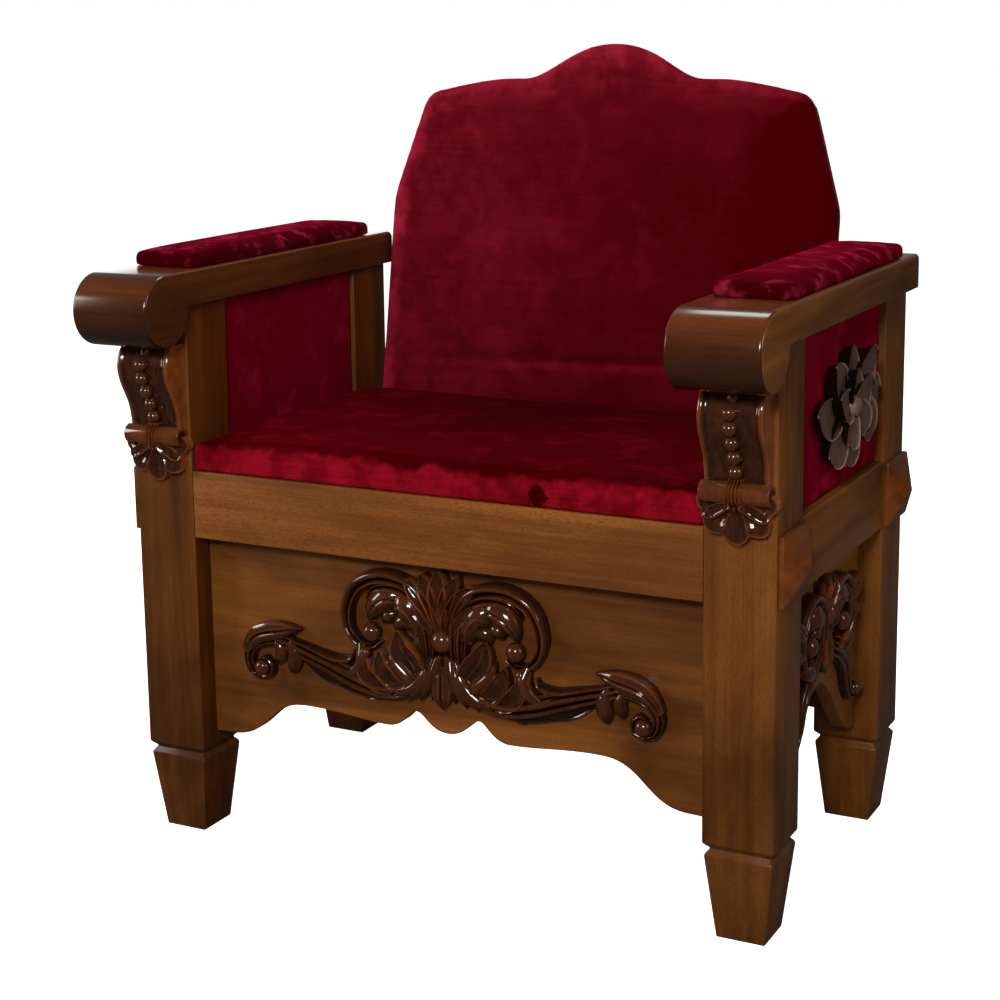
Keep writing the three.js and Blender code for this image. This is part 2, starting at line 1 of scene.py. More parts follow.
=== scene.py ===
# throne: velvet seat and back, varnished frame, dark carved onlays
import math

import bmesh
import bpy
from mathutils import Matrix, Vector


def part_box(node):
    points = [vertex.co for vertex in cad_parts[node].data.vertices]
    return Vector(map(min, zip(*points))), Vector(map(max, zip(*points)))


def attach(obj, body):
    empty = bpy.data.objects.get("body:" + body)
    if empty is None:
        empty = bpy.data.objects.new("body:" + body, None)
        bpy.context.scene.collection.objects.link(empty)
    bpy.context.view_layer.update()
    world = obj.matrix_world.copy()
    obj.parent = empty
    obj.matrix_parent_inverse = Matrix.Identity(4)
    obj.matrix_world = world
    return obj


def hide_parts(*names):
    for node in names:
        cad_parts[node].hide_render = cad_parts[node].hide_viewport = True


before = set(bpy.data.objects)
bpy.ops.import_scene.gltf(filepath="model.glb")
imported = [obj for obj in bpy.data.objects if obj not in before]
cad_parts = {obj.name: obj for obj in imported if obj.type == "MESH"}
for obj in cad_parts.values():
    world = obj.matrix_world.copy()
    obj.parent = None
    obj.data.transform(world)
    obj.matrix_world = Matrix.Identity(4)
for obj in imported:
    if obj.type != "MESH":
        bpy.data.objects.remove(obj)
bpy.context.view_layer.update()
mm = 0.001
scene = bpy.context.scene
scene.view_settings.view_transform = "Standard"
print("frame loaded:", len(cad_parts), "nodes")

# places that several pieces share, all read from the model's own nodes, in metres
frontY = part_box("front_leg_right")[0].y
middleY = (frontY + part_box("back_leg_right")[1].y) / 2
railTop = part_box("front_rail")[1].z
bothSides = (("right", 1), ("left", -1))


def addObject(name, data):
    if isinstance(data, bmesh.types.BMesh):
        mesh = bpy.data.meshes.new(name)
        data.to_mesh(mesh)
        data.free()
        data = mesh
    thing = bpy.data.objects.new(name, data)
    scene.collection.objects.link(thing)
    return thing


# shader helpers: a value is a number, a colour or another node's output

def feed(slot, value):
    if hasattr(value, "links"):
        slot.id_data.links.new(value, slot)
    elif slot.type == "RGBA" and len(value) == 3:
        slot.default_value = (*value, 1)
    else:
        slot.default_value = value


def fit(node, **values):
    # each name is a setting of the node or one of its inputs
    for key, value in values.items():
        if hasattr(node, key):
            setattr(node, key, value)
        else:
            feed(node.inputs[key.replace("_", " ")], value)
    return node


def put(tree, kind, **values):
    return fit(tree.nodes.new("ShaderNode" + kind), **values)


def treeOf(*values):
    return next(value.id_data for value in values if hasattr(value, "links"))


def sums(how, first, second, clamp=False):
    node = put(treeOf(first, second), "Math", operation=how, use_clamp=clamp)
    feed(node.inputs[0], first)
    feed(node.inputs[1], second)
    return node.outputs[0]


def plus(first, second, clamp=False):
    return sums("ADD", first, second, clamp)


def minus(first, second):
    return sums("SUBTRACT", first, second)


def times(first, second):
    return sums("MULTIPLY", first, second)


def blend(factor, first, second, how="MIX"):
    node = put(treeOf(factor, first, second), "Mix", data_type="RGBA", blend_type=how)
    slots = [s for s in node.inputs if s.enabled]  # factor, A, B
    for slot, value in zip(slots, (factor, first, second)):
        feed(slot, value)
    return next(s for s in node.outputs if s.enabled)


def ramp(value, stops, smooth=False):
    node = put(value.id_data, "ValToRGB", Fac=value)
    node.color_ramp.interpolation = "EASE" if smooth else "LINEAR"
    points = node.color_ramp.elements
    while len(points) < len(stops):
        points.new(0.5)
    for point, (at, shade) in zip(points, stops):
        point.position = at
        point.color = (*shade, 1) if isinstance(shade, tuple) else (shade, shade, shade, 1)
    return node.outputs["Color"]


def between(value, start, end, first=0.0, last=1.0, kind="SMOOTHSTEP"):
    # where the value lies from start to end, told as a number from first to last
    return put(value.id_data, "MapRange", interpolation_type=kind, Value=value, From_Min=start, From_Max=end,
               To_Min=first, To_Max=last).outputs["Result"]


def shaded(colour, value, low, high, stops, smooth=False):
    # a colour scaled by where the value lies from low to high
    return blend(1.0, colour, ramp(between(value, low, high, kind="LINEAR"), stops, smooth), "MULTIPLY")


def axesOf(vector):
    return put(vector.id_data, "SeparateXYZ", Vector=vector).outputs


def stretch(vector, scale, turn=(0, 0, 0)):
    turned = [math.radians(a) for a in turn]
    return put(vector.id_data, "Mapping", Vector=vector, Scale=scale, Rotation=turned).outputs["Vector"]


def cloud(vector, scale, detail, rough=0.5, distortion=0.0):
    # noise, stretched where the scale is three numbers
    if isinstance(scale, tuple):
        vector, scale = stretch(vector, scale), 1.0
    return put(vector.id_data, "TexNoise", Vector=vector, Scale=scale, Detail=detail, Roughness=rough,
               Distortion=distortion).outputs["Fac"]


def bump(height, strength, depth):
    return put(height.id_data, "Bump", Height=height, Strength=strength, Distance=depth).outputs["Normal"]


def startMaterial(name, **constants):
    material = bpy.data.materials.new(name)
    material.use_nodes = True
    tree = material.node_tree
    return material, tree, fit(tree.nodes["Principled BSDF"], **constants)


# camera and light

camera = {
    "place": (1.0406, -2.0804, 0.970),
    "turn": 27.165,  # degrees round the throne from straight ahead
    "down": 10.838,
    "roll": -0.740,
    "lens": 71.615,
    "shiftY": -0.10,
}


def makeCamera():
    data = bpy.data.cameras.new("camera")
    data.lens = camera["lens"]
    data.sensor_width = 36
    data.shift_y = camera["shiftY"]
    data.clip_start = 0.05
    data.clip_end = 50
    eye = addObject("camera", data)
    turn = Matrix.Rotation(math.radians(camera["turn"]), 4, "Z")
    tilt = Matrix.Rotation(math.radians(90 - camera["down"]), 4, "X")
    roll = Matrix.Rotation(math.radians(camera["roll"]), 4, "Z")
    eye.matrix_world = Matrix.Translation(camera["place"]) @ turn @ tilt @ roll
    scene.camera = eye


lights = {
    # name: place, aim, width, height, watts, colour
    "key": ((0.95, -3.2, 2.05), (0, 0, 0.45), 0.8, 0.6, 112, (1.0, 0.97, 0.93)),
    "left": ((-2.7, -1.7, 1.4), (0, 0, 0.5), 0.7, 1.3, 46, (1.0, 0.97, 0.93)),
    "right": ((3.0, -0.7, 1.7), (0.3, 0, 0.4), 0.7, 1.2, 26, (1.0, 0.98, 0.95)),
    "top": ((0.0, 1.1, 2.6), (0, 0.1, 0.5), 1.4, 0.8, 24, (1.0, 0.99, 0.97)),
    "rear": ((-0.9, 2.6, 3.0), (0, 0, 0.45), 1.2, 0.9, 48, (1.0, 0.98, 0.95)),
}
studio = {
    "sight": 1.0, "band": 2.0, "room": 0.10,
    # the backdrop's glow, behind, to the left and low: start and end on the axis, value there
    "fades": {"Y": (0.1, 0.8, 0.0, 1.0), "X": (-0.54, -0.38, 1.0, 0.05), "Z": (0.10, 0.24, 1.0, 0.05)},
    "floor": 0.9, "floorGlow": 0.95, "floorMirror": 0.08, "floorBounce": 0.34, "floorHalf": 30,
}


def makeLights():
    for name, (place, aim, width, height, watts, colour) in lights.items():
        data = bpy.data.lights.new(name, "AREA")
        data.shape = "RECTANGLE"
        data.size = width
        data.size_y = height
        data.energy = watts
        data.color = colour
        lamp = addObject(name, data)
        lamp.location = place
        # the lamp behind lights the back board, and leaves no glint on the arms
        lamp.visible_glossy = name != "rear"
        lamp.rotation_mode = "QUATERNION"
        lamp.rotation_quaternion = (Vector(aim) - Vector(place)).to_track_quat("-Z", "Y")
    # a white backdrop behind the throne, a dim room in front of it
    world = bpy.data.worlds.new("studio")
    world.use_nodes = True
    tree = world.node_tree
    axes = axesOf(put(tree, "TexCoord").outputs["Generated"])
    glow = studio["band"]
    for axis, fade in studio["fades"].items():
        glow = times(glow, between(axes[axis], *fade))
    seen = put(tree, "LightPath").outputs["Is Camera Ray"]
    mix = put(tree, "Mix", Factor=seen, A=plus(glow, studio["room"]), B=studio["sight"])
    fit(tree.nodes["Background"], Color=(1, 1, 1), Strength=mix.outputs["Result"])
    scene.world = world


def makeFloor():
    bm = bmesh.new()
    bmesh.ops.create_grid(bm, x_segments=2, y_segments=2, size=studio["floorHalf"])
    floor = addObject("floor", bm)
    # pale to the eye, darker where the varnish mirrors it
    paint, tree, shader = startMaterial("floor", Roughness=0.9, Specular_IOR_Level=0.0, Emission_Color=(1, 1, 1))
    ray = put(tree, "LightPath").outputs
    mirror = put(tree, "Mix", Factor=ray["Is Glossy Ray"], A=studio["floorBounce"], B=studio["floorMirror"])
    mix = put(tree, "Mix", Factor=ray["Is Camera Ray"], A=mirror.outputs["Result"], B=studio["floor"])
    fit(shader, Base_Color=mix.outputs["Result"], Emission_Strength=times(ray["Is Camera Ray"], studio["floorGlow"]))
    floor.data.materials.append(paint)


makeCamera()
makeLights()
makeFloor()
print("camera, lights and floor made")


# node groups that the materials share

def newGroup(name, inputs, outputs=("Color", "Roughness", "Height")):
    # an input without a value is a vector
    tree = bpy.data.node_groups.new(name, "ShaderNodeTree")
    for label, value in inputs.items():
        kind = "Vector" if value is None else "Color" if isinstance(value, tuple) else "Float"
        socket = tree.interface.new_socket(label, in_out="INPUT", socket_type="NodeSocket" + kind)
        if value is not None:
            socket.default_value = (*value, 1) if kind == "Color" else value
    for label in outputs:
        kind = "Color" if label == "Color" else "Float"
        tree.interface.new_socket(label, in_out="OUTPUT", socket_type="NodeSocket" + kind)
    return tree, tree.nodes.new("NodeGroupInput").outputs, tree.nodes.new("NodeGroupOutput")


def woodGrainGroup():
    # the grain runs along the vector's X; lengths are in metres
    tree, given, out = newGroup("wood grain", {"Vector": None, "Light": (0.3, 0.15, 0.05),
                                               "Dark": (0.12, 0.05, 0.02), "Fleck": 0.5, "Blotch": 0.5})
    vector = given["Vector"]
    bands = cloud(vector, (1.3, 17, 17), 3, 0.55, 0.8)
    fibres = cloud(vector, (9, 420, 420), 4, 0.6)
    silk = cloud(vector, (2.5, 95, 95), 3, 0.5, 0.3)
    patches = cloud(vector, (3.4, 9, 9), 4, 0.6, 0.6)
    # short dark dashes, broader than they are deep
    fleck = ramp(cloud(vector, (260, 700, 700), 2, 0.6), [(0.52, 0.0), (0.64, 1.0)])
    tone = plus(plus(times(bands, 0.55), times(silk, 0.3)), times(fibres, 0.25))
    colour = blend(ramp(tone, [(0.36, 0.0), (0.72, 1.0)]), given["Dark"], given["Light"])
    shade = ramp(patches, [(0.31, (0.36, 0.32, 0.30)), (0.50, 0.88), (0.70, (1.3, 1.36, 1.36))])
    blotched = blend(given["Blotch"], colour, shade, "MULTIPLY")
    fit(out, Color=blend(times(fleck, given["Fleck"]), blotched, given["Dark"]),
        Roughness=plus(times(silk, 0.08), times(patches, 0.08)),
        Height=minus(times(fibres, 0.5), times(fleck, 0.5)))
    return tree


def carvedWearAndShadeGroup():
    # polish rubbed through on ridges, and painted shade lying dark in the cuts
    tree, given, out = newGroup("carved wear and shade", {"Vector": None, "Ridge": (0.2, 0.08, 0.03),
                                                "Body": (0.03, 0.012, 0.007), "CutShade": (0.006, 0.003, 0.002),
                                                "Wear": 0.6})
    shape = put(tree, "NewGeometry").outputs["Pointiness"]
    patch = cloud(given["Vector"], 38, 3, 0.6)
    streak = cloud(given["Vector"], (160, 160, 40), 3, 0.6)
    ridge = ramp(shape, [(0.503, 0.0), (0.59, 1.0)])
    # painted shade: hollows darken towards the cut colour
    cutShade = ramp(shape, [(0.43, 1.0), (0.495, 0.0)])
    rubbed = times(ridge, times(given["Wear"], ramp(patch, [(0.3, 0.35), (0.65, 1.0)])))
    body = blend(ramp(streak, [(0.4, 0.0), (0.85, 0.14)]), given["Body"], given["Ridge"])
    colour = blend(cutShade, blend(rubbed, body, given["Ridge"]), given["CutShade"])
    fit(out, Color=colour, Roughness=times(patch, 0.16), Height=streak)
    return tree


def velvetNapGroup():
    # pile brushed one way and another: broad soft patches, crushed smears and fine weave lines along X
    tree, given, out = newGroup("velvet nap", {"Vector": None, "Deep": (0.06, 0.001, 0.004),
                                               "Bright": (0.3, 0.006, 0.03), "Crush": 0.3, "Sweep": 0.5,
                                               "Lift": 0.0}, ("Color", "Height"))
    vector = given["Vector"]
    bend = cloud(vector, 3.6, 2, 0.45, 0.3)
    crush = cloud(vector, (21, 21, 21), 3, 0.55, 0.5)
    spots = cloud(vector, (34, 34, 34), 4, 0.65)
    thread = cloud(vector, (1100, 1100, 1100), 2, 0.6)
    weave = cloud(vector, (7, 60, 620), 2, 0.6)
    sweep = times(ramp(bend, [(0.36, 0.0), (0.72, 1.0)], smooth=True), given["Sweep"])
    smear = ramp(crush, [(0.50, 0.0), (0.68, 1.0)], smooth=True)
    smear = times(smear, ramp(spots, [(0.35, 0.45), (0.62, 1.0)]))
    # painted sheen and shade from the material, less its bald spot, laid over the spots
    lightAndBaldSpots = times(given["Lift"], ramp(spots, [(0.36, 0.45), (0.62, 1.0)], smooth=True))
    lay = plus(sweep, times(smear, given["Crush"]), clamp=True)
    lay = plus(lay, lightAndBaldSpots, clamp=True)
    colour = blend(lay, given["Deep"], given["Bright"])
    colour = blend(1.0, colour, ramp(thread, [(0.3, 0.74), (0.7, 1.0)]), "MULTIPLY")
    colour = blend(1.0, colour, ramp(weave, [(0.35, 0.84), (0.6, 1.0)]), "MULTIPLY")
    high = plus(times(thread, 0.4), times(weave, 0.2))
    fit(out, Color=colour, Height=plus(high, times(lay, 0.4)))
    return tree


grain = woodGrainGroup()
wearAndShade = carvedWearAndShadeGroup()
nap = velvetNapGroup()


# materials

woodTones = {
    # name: light, dark, fleck, blotch, roughness, coat
    "rail": ((0.245, 0.080, 0.015), (0.080, 0.022, 0.0035), 0.6, 0.6, 0.44, 0.08),
    "leg": ((0.178, 0.059, 0.0090), (0.060, 0.0165, 0.0024), 0.4, 0.85, 0.42, 0.10),
    "apron": ((0.175, 0.059, 0.0100), (0.070, 0.0205, 0.0032), 0.35, 0.85, 0.44, 0.08),
    "arm": ((0.155, 0.040, 0.0080), (0.050, 0.0130, 0.0036), 0.3, 0.7, 0.22, 0.5),
    "armSide": ((0.165, 0.058, 0.0115), (0.056, 0.0165, 0.0036), 0.35, 0.85, 0.36, 0.10),
    "stud": ((0.165, 0.042, 0.0060), (0.055, 0.0125, 0.0020), 0.2, 0.7, 0.42, 0.03),
    # darker wood for the arms' inner faces: painted shade
    "armInnerShaded": ((0.085, 0.027, 0.0062), (0.030, 0.0085, 0.0024), 0.3, 0.7, 0.34, 0.12),
    # darker wood for the legs' inner faces: painted shade
    "legInnerShaded": ((0.105, 0.028, 0.0032), (0.036, 0.0088, 0.0012), 0.35, 0.8, 0.42, 0.05),
    "backing": ((0.06, 0.018, 0.005), (0.025, 0.007, 0.002), 0.3, 0.6, 0.45, 0.1),
    "ply": ((0.42, 0.27, 0.14), (0.28, 0.16, 0.075), 0.3, 0.5, 0.6, 0.0),
}
grainTurns = {"x": (0, 0, 0), "y": (0, 0, -90), "z": (0, 90, 0)}
darkeningByHeight = {
    # colour darkened by height: two heights, and how the colour is scaled between them. On the arm's roll this is
    # painted shade, darkest on its underside and darker on its top; the legs are darker towards the floor
    "arm x": (0.605, 0.692, [(0.0, 0.10), (0.35, (0.26, 0.30, 0.40)), (0.60, 0.48), (0.80, 1.0), (0.9, 1.0),
                             (1.0, 0.40)]),
    "leg z": (0.0, 0.60, [(0.0, 0.75), (0.28, 0.72), (0.46, 1.0), (0.8, 1.0), (1.0, 0.85)]),
}
woods = {}


def wood(tone, way):
    name = tone + " " + way
    if name in woods:
        return woods[name]
    light, dark, fleck, blotch, rough, coat = woodTones[tone]
    material, tree, shader = startMaterial("wood " + name, Coat_Weight=coat, Coat_Roughness=0.17,
                                           Specular_IOR_Level=0.12)
    where = put(tree, "TexCoord").outputs["Object"]
    node = put(tree, "Group", node_tree=grain, Vector=stretch(where, (1, 1, 1), grainTurns[way]), Light=light,
               Dark=dark, Fleck=fleck, Blotch=blotch)
    colour = node.outputs["Color"]
    # darker by height: painted shade on the arm's roll, and legs darker towards the floor
    if name in darkeningByHeight:
        colour = shaded(colour, axesOf(where)["Z"], *darkeningByHeight[name], smooth=True)
    fit(shader, Base_Color=colour, Roughness=plus(node.outputs["Roughness"], rough - 0.1),
        Normal=bump(node.outputs["Height"], 0.03 if coat > 0.3 else 0.25, 0.0004))
    woods[name] = material
    return material


def carvedMaterial(name, ridge, body, wearing, rough, coat, board=None):
    # board is an axis, the board's face on it, and how far the carving stands out
    material, tree, shader = startMaterial(name, Coat_Weight=coat, Coat_Roughness=0.07, Specular_IOR_Level=0.1)
    where = put(tree, "TexCoord").outputs["Object"]
    node = put(tree, "Group", node_tree=wearAndShade, Vector=where, Ridge=ridge, Body=body, Wear=wearing)
    colour = node.outputs["Color"]
    if board:
        # painted shade: the carving is darker near the board, and keeps its full colour on the crests
        axis, face, out = board
        colour = shaded(colour, sums("ABSOLUTE", axesOf(where)[axis], 0.0), face, face + out, carvedDepthShade)
    fit(shader, Base_Color=colour, Roughness=plus(node.outputs["Roughness"], rough),
        Normal=bump(node.outputs["Height"], 0.12, 0.0003))
    return material


def velvetMaterial(name, deep, bright, crush, sweep, sheen, scale=1.0, paintedLights=(), bald=None):
    # each painted light brightens the pile along an axis, or with the way the surface leans along it, as painted
    # sheen; a negative one paints shade:
    # axis, where it is full, where it has gone, how much
    material, tree, shader = startMaterial(name, Roughness=0.9, Sheen_Weight=sheen, Sheen_Roughness=0.3,
                                           Sheen_Tint=(0.9, 0.02, 0.08), Specular_IOR_Level=0.0)
    where = put(tree, "TexCoord").outputs["Object"]
    axes = axesOf(where)
    lean = axesOf(put(tree, "NewGeometry").outputs["Normal"])
    wobble = times(minus(cloud(where, 30, 3), 0.5), 0.03)
    lightAndBaldTotal = 0.0
    for axis, full, gone, strength in paintedLights:
        if axis.startswith("lean"):
            value = lean[axis[-1]]
        elif axis == "side":
            # distance in from the back's left side, which slopes in above the waist
            above = sums("MAXIMUM", minus(axes["Z"], backs["waistZ"]), 0.0)
            value = plus(minus(axes["X"], times(above, backs["slope"])), wobble)
        else:
            value = plus(axes[axis], wobble)
        lightAndBaldTotal = plus(lightAndBaldTotal, between(value, full, gone, strength, 0.0))
    if bald:
        # one small spot where the pile lies flat and dark
        spot, radius = bald
        apart = put(tree, "VectorMath", operation="DISTANCE", Vector=where)
        apart.inputs[1].default_value = spot
        ragged = times(minus(cloud(where, 110, 4, 0.7), 0.5), 0.045)
        value = plus(apart.outputs["Value"], ragged)
        lightAndBaldTotal = minus(lightAndBaldTotal, between(value, radius * 0.5, radius * 1.3, 1.0, 0.0))
    node = put(tree, "Group", node_tree=nap, Vector=stretch(where, (scale, scale, scale)), Deep=deep,
               Bright=bright, Crush=crush, Sweep=sweep, Lift=lightAndBaldTotal)
    fit(shader, Base_Color=node.outputs["Color"], Normal=bump(node.outputs["Height"], 0.4, 0.001))
    return material


# painted shade by height above the board: share of the height, and how the colour is scaled there
carvedDepthShade = [(0.0, 0.10), (0.35, 0.26), (0.62, 0.72), (1.0, 1.0)]
lacquer = {"ridge": (0.25, 0.066, 0.014), "body": (0.030, 0.0080, 0.0030), "wearing": 0.85, "rough": 0.10,
           "coat": 0.5}
carved = carvedMaterial("carved lacquer", **dict(lacquer, body=(0.020, 0.0055, 0.0024)))
apronOut, panelOut = -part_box("front_onlay")[1].y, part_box("side_onlay_right")[0].x
carvedFront = carvedMaterial("carved lacquer front", **lacquer, board=("Y", apronOut, 0.021))
carvedSide = carvedMaterial("carved lacquer side", **lacquer, board=("X", panelOut, 0.018))
carvedDull = carvedMaterial("carved wax", (0.34, 0.20, 0.14), (0.066, 0.034, 0.024), 0.85, 0.38, 0.06)
carvedBead = carvedMaterial("carved beads", (0.13, 0.032, 0.006), (0.034, 0.0092, 0.0028), 0.6, 0.10, 0.7)
# near-black walls for the rosettes: painted shade
carvedShadeWalls = carvedMaterial("carved wax shaded walls", (0.010, 0.004, 0.0025), (0.0022, 0.0012, 0.0009), 0.3, 0.2, 0.5)
print("materials made")


# mesh helpers

def fitPiece(piece, node):
    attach(piece, "root")
    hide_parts(node)


def finishPiece(bm, name, node, materials, stand=Matrix(), angle=35, pick=None):
    bmesh.ops.transform(bm, matrix=stand, verts=bm.verts)
    bmesh.ops.recalc_face_normals(bm, faces=bm.faces)
    piece = addObject(name, bm)
    mesh = piece.data
    for material in materials:
        mesh.materials.append(material)
    if pick:
        for face in mesh.polygons:
            face.material_index = pick(face)
    mesh.shade_smooth()
    mesh.set_sharp_from_angle(angle=math.radians(angle))
    fitPiece(piece, node)


def boardMatrix(origin, out):
    # from drawing (across, up, out of the board) in millimetres to metres in the world
    up, out = Vector((0, 0, 1)), Vector(out)
    turn = Matrix((up.cross(out), up, out)).transposed().to_4x4()
    return Matrix.Translation(origin) @ turn @ Matrix.Scale(mm, 4)


def sideBoard(node, sign, y, z=0.0):
    low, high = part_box(node)
    return boardMatrix((low.x if sign > 0 else high.x, y, z), (sign, 0, 0))


def clamp(value, low=-1.0, high=1.0):
    return max(low, min(high, value))


def drawnOut(bm, faces, reach):
    made = bmesh.ops.extrude_face_region(bm, geom=faces)["geom"]
    bmesh.ops.translate(bm, vec=reach, verts=[g for g in made if isinstance(g, bmesh.types.BMVert)])
    return [g for g in made if isinstance(g, bmesh.types.BMFace)]


def easeEdges(bm, edges, offset, segments=3):
    bmesh.ops.bevel(bm, geom=edges, offset=offset, affect="EDGES", segments=segments, profile=0.5,
                    material=-1, clamp_overlap=True)


def rimEdges(bm, axis):
    # the edges round a board's two faces: both ends at one depth
    return [e for e in bm.edges if abs(e.verts[0].co[axis] - e.verts[1].co[axis]) < 0.01]


def easedBox(size, centre, edge, segments=3):
    bm = bmesh.new()
    bmesh.ops.create_cube(bm, size=1)
    bmesh.ops.scale(bm, vec=size, verts=bm.verts)
    bmesh.ops.translate(bm, vec=centre, verts=bm.verts)
    easeEdges(bm, bm.edges[:], edge, segments)
    return bm


def arc(x, y, radius, start, turn, steps):
    for i in range(steps + 1):
        a = math.radians(start + turn * i / steps)
        yield x + radius * math.cos(a), y + radius * math.sin(a)


def bezier(points, steps):
    a, b, c, d = (Vector(p) for p in points)
    for i in range(1, steps + 1):
        t = i / steps
        yield a * (1 - t) ** 3 + b * 3 * t * (1 - t) ** 2 + c * 3 * t * t * (1 - t) + d * t ** 3


def bothHalves(half):
    # an outline and its mirror image, meeting at the last point
    return [(p[0], p[1]) for p in half] + [(-p[0], p[1]) for p in reversed(half[:-1])]


def smoothPath(points, count):
    # evenly spaced points on a Catmull-Rom curve through the given ones
    ends = [Vector((*p, 0)) for p in (points[0], *points, points[-1])]
    fine = []
    for i in range(1, len(ends) - 2):
        p0, p1, p2, p3 = ends[i - 1:i + 3]
        for k in range(12):
            t = k / 12
            fine.append(0.5 * (2 * p1 + (p2 - p0) * t + (2 * p0 - 5 * p1 + 4 * p2 - p3) * t * t
                               + (3 * p1 - p0 - 3 * p2 + p3) * t ** 3))
    fine.append(ends[-1])
    lengths = [0.0]
    for a, b in zip(fine, fine[1:]):
        lengths.append(lengths[-1] + (b - a).length)
    even = []
    j = 0
    for i in range(count + 1):
        want = lengths[-1] * i / count
        while j < len(fine) - 2 and lengths[j + 1] < want:
            j += 1
        share = (want - lengths[j]) / max(1e-9, lengths[j + 1] - lengths[j])
        even.append(fine[j].lerp(fine[j + 1], min(1, share)))
    return even


def along(values, t):
    # a number read off a list of evenly spaced ones, eased between them
    if not isinstance(values, (list, tuple)):
        return values
    at = clamp(t, 0.0) * (len(values) - 1)
    i = min(int(at), len(values) - 2)
    f = at - i
    f = f * f * (3 - 2 * f)
    return values[i] * (1 - f) + values[i + 1] * f


# carving: strips, petals and balls that stand on a board, drawn (across, up) in millimetres

sections = {
    # heights across a carved bar from its left edge to its right, as shares of its full height
    "round": [0.3, 0.72, 0.93, 1.0, 0.93, 0.72, 0.3],
    "belly": [0.35, 0.62, 0.8, 0.94, 1.0, 0.96, 0.84, 0.66, 0.35],
    "tail": [0.35, 0.78, 0.86, 0.8, 0.5, 0.72, 0.97, 1.0, 0.92, 0.55, 0.68, 0.84, 0.8, 0.4],
    "rim": [0.3, 0.72, 0.85, 0.72, 0.4, 0.55, 0.85, 0.97, 1.0, 0.95, 0.8, 0.45],
}
sunk = -0.2  # how far the foot of every carving goes into its board
leastHigh = 0.3
leastHalf = 0.25


def closeFoot(bm, verts):
    edges = {e for v in verts for e in v.link_edges if e.is_boundary}
    bmesh.ops.holes_fill(bm, edges=list(edges), sides=0)


def carvedStrip(bm, line, across, form, under, crowd=None):
    # form gives a half width and a height from the share along the line and the share across it;
    # under widens the foot or draws it in, crowd draws the rows together at the strip's start
    steps = (len(line) - 1) // 2
    verts = bmesh.ops.create_grid(bm, x_segments=steps, y_segments=across, size=1)["verts"]
    insideS = 1 - 2 / steps
    insideU = 1 - 2 / across
    for vert in verts:
        rawS, rawU = vert.co.x, vert.co.y
        s = (clamp(rawS / insideS) + 1) / 2
        if crowd:
            s = 1 - (1 - s) ** crowd
        u = clamp(rawU / insideU)
        at = s * steps * 2
        i = min(int(at), len(line) - 2)
        centre = line[i].lerp(line[i + 1], at - i)
        ahead = (line[min(i + 2, len(line) - 1)] - line[max(i - 1, 0)]).normalized()
        side = Vector((-ahead.y, ahead.x, 0))
        half, high = form(s, u)
        foot = abs(rawS) > insideS + 1e-4 or abs(rawU) > insideU + 1e-4
        if foot:
            centre = line[0].lerp(centre, min(1, under))
        vert.co = centre + side * (u * half * (under if foot else 1.0))
        vert.co.z = sunk if foot else max(leastHigh, high)
    closeFoot(bm, verts)
    return verts


def carvedBar(bm, points, halfWidths, heights, section="round", steps=40, across=18):
    def form(s, u):
        half = max(leastHalf, along(halfWidths, s))
        return half, along(heights, s) * along(sections[section], (u + 1) / 2)

    return carvedStrip(bm, smoothPath(points, steps * 2), across, form, 1.04)


def carvedPetal(bm, points, half, heights, form, skew=0.0, vein=0.0, curl=0.0, under=1.03, steps=34, across=22):
    # form is (cup, lip, widest, root, tip): how hollow it is, the lip round its edge, where it is widest,
    # its width at the root, and 0.5 for a round end or about 1 for a pointed one.
    # skew lifts the left edge over the right, and curl bends the tip
    cup, lip, widest, root, tip = form
    line = smoothPath(points, steps * 2)
    length = sum((b - a).length for a, b in zip(line, line[1:]))

    def petal(s, u):
        if s > widest:
            wide = (1 - ((s - widest) / (1 - widest)) ** 2) ** tip
        else:
            grow = s / widest
            wide = root + (1 - root) * grow * (2 - grow)
        wide = max(leastHalf, wide * half)
        edge = min(wide * (1 - abs(u)), (1 - s) * length * 0.8)
        high = along(heights, s) - cup * (1 - u * u) * math.sin(math.pi * s) ** 0.7
        high += lip * math.exp(-(edge / 1.5) ** 2) + skew * u + curl * max(0.0, s - 0.6) ** 2
        high -= vein * math.exp(-(u * wide / 1.6) ** 2) * math.sin(math.pi * s)
        return wide, high

    return carvedStrip(bm, line, across, petal, under, 1.45)


def addBall(bm, centre, radii, segments, rings):
    ball = bmesh.ops.create_uvsphere(bm, u_segments=segments, v_segments=rings, radius=1)["verts"]
    for vert in ball:
        vert.co = Vector(centre) + vert.co * Vector(radii)
        vert.co.z = max(vert.co.z, sunk)
    return ball


def carvedBall(bm, x, y, radius, height, collar=0.0):
    addBall(bm, (x, y, height - radius), (radius, radius, radius), 32, 20)
    if collar:
        carvedBar(bm, list(arc(x, y, collar, 0, 360, 18)), 1.8, 4, "round", 48, 8)


def mirrored(bm, verts):
    # a copy of some carving on the other side of the middle line
    faces = list({f for v in verts for f in v.link_faces})
    copy = bmesh.ops.duplicate(bm, geom=faces)["geom"]
    for vert in [g for g in copy if isinstance(g, bmesh.types.BMVert)]:
        vert.co.x = -vert.co.x
    bmesh.ops.reverse_faces(bm, faces=[g for g in copy if isinstance(g, bmesh.types.BMFace)])


def carvers(bm):
    # bars, leaves and balls that are carved together with their mirror images
    def bar(*given):
        mirrored(bm, carvedBar(bm, *given))

    def leaf(*given, **more):
        mirrored(bm, carvedPetal(bm, *given, **more))

    def ball(x, y, *given):
        for way in (-1, 1):
            carvedBall(bm, x * way, y, *given)

    return bar, leaf, ball


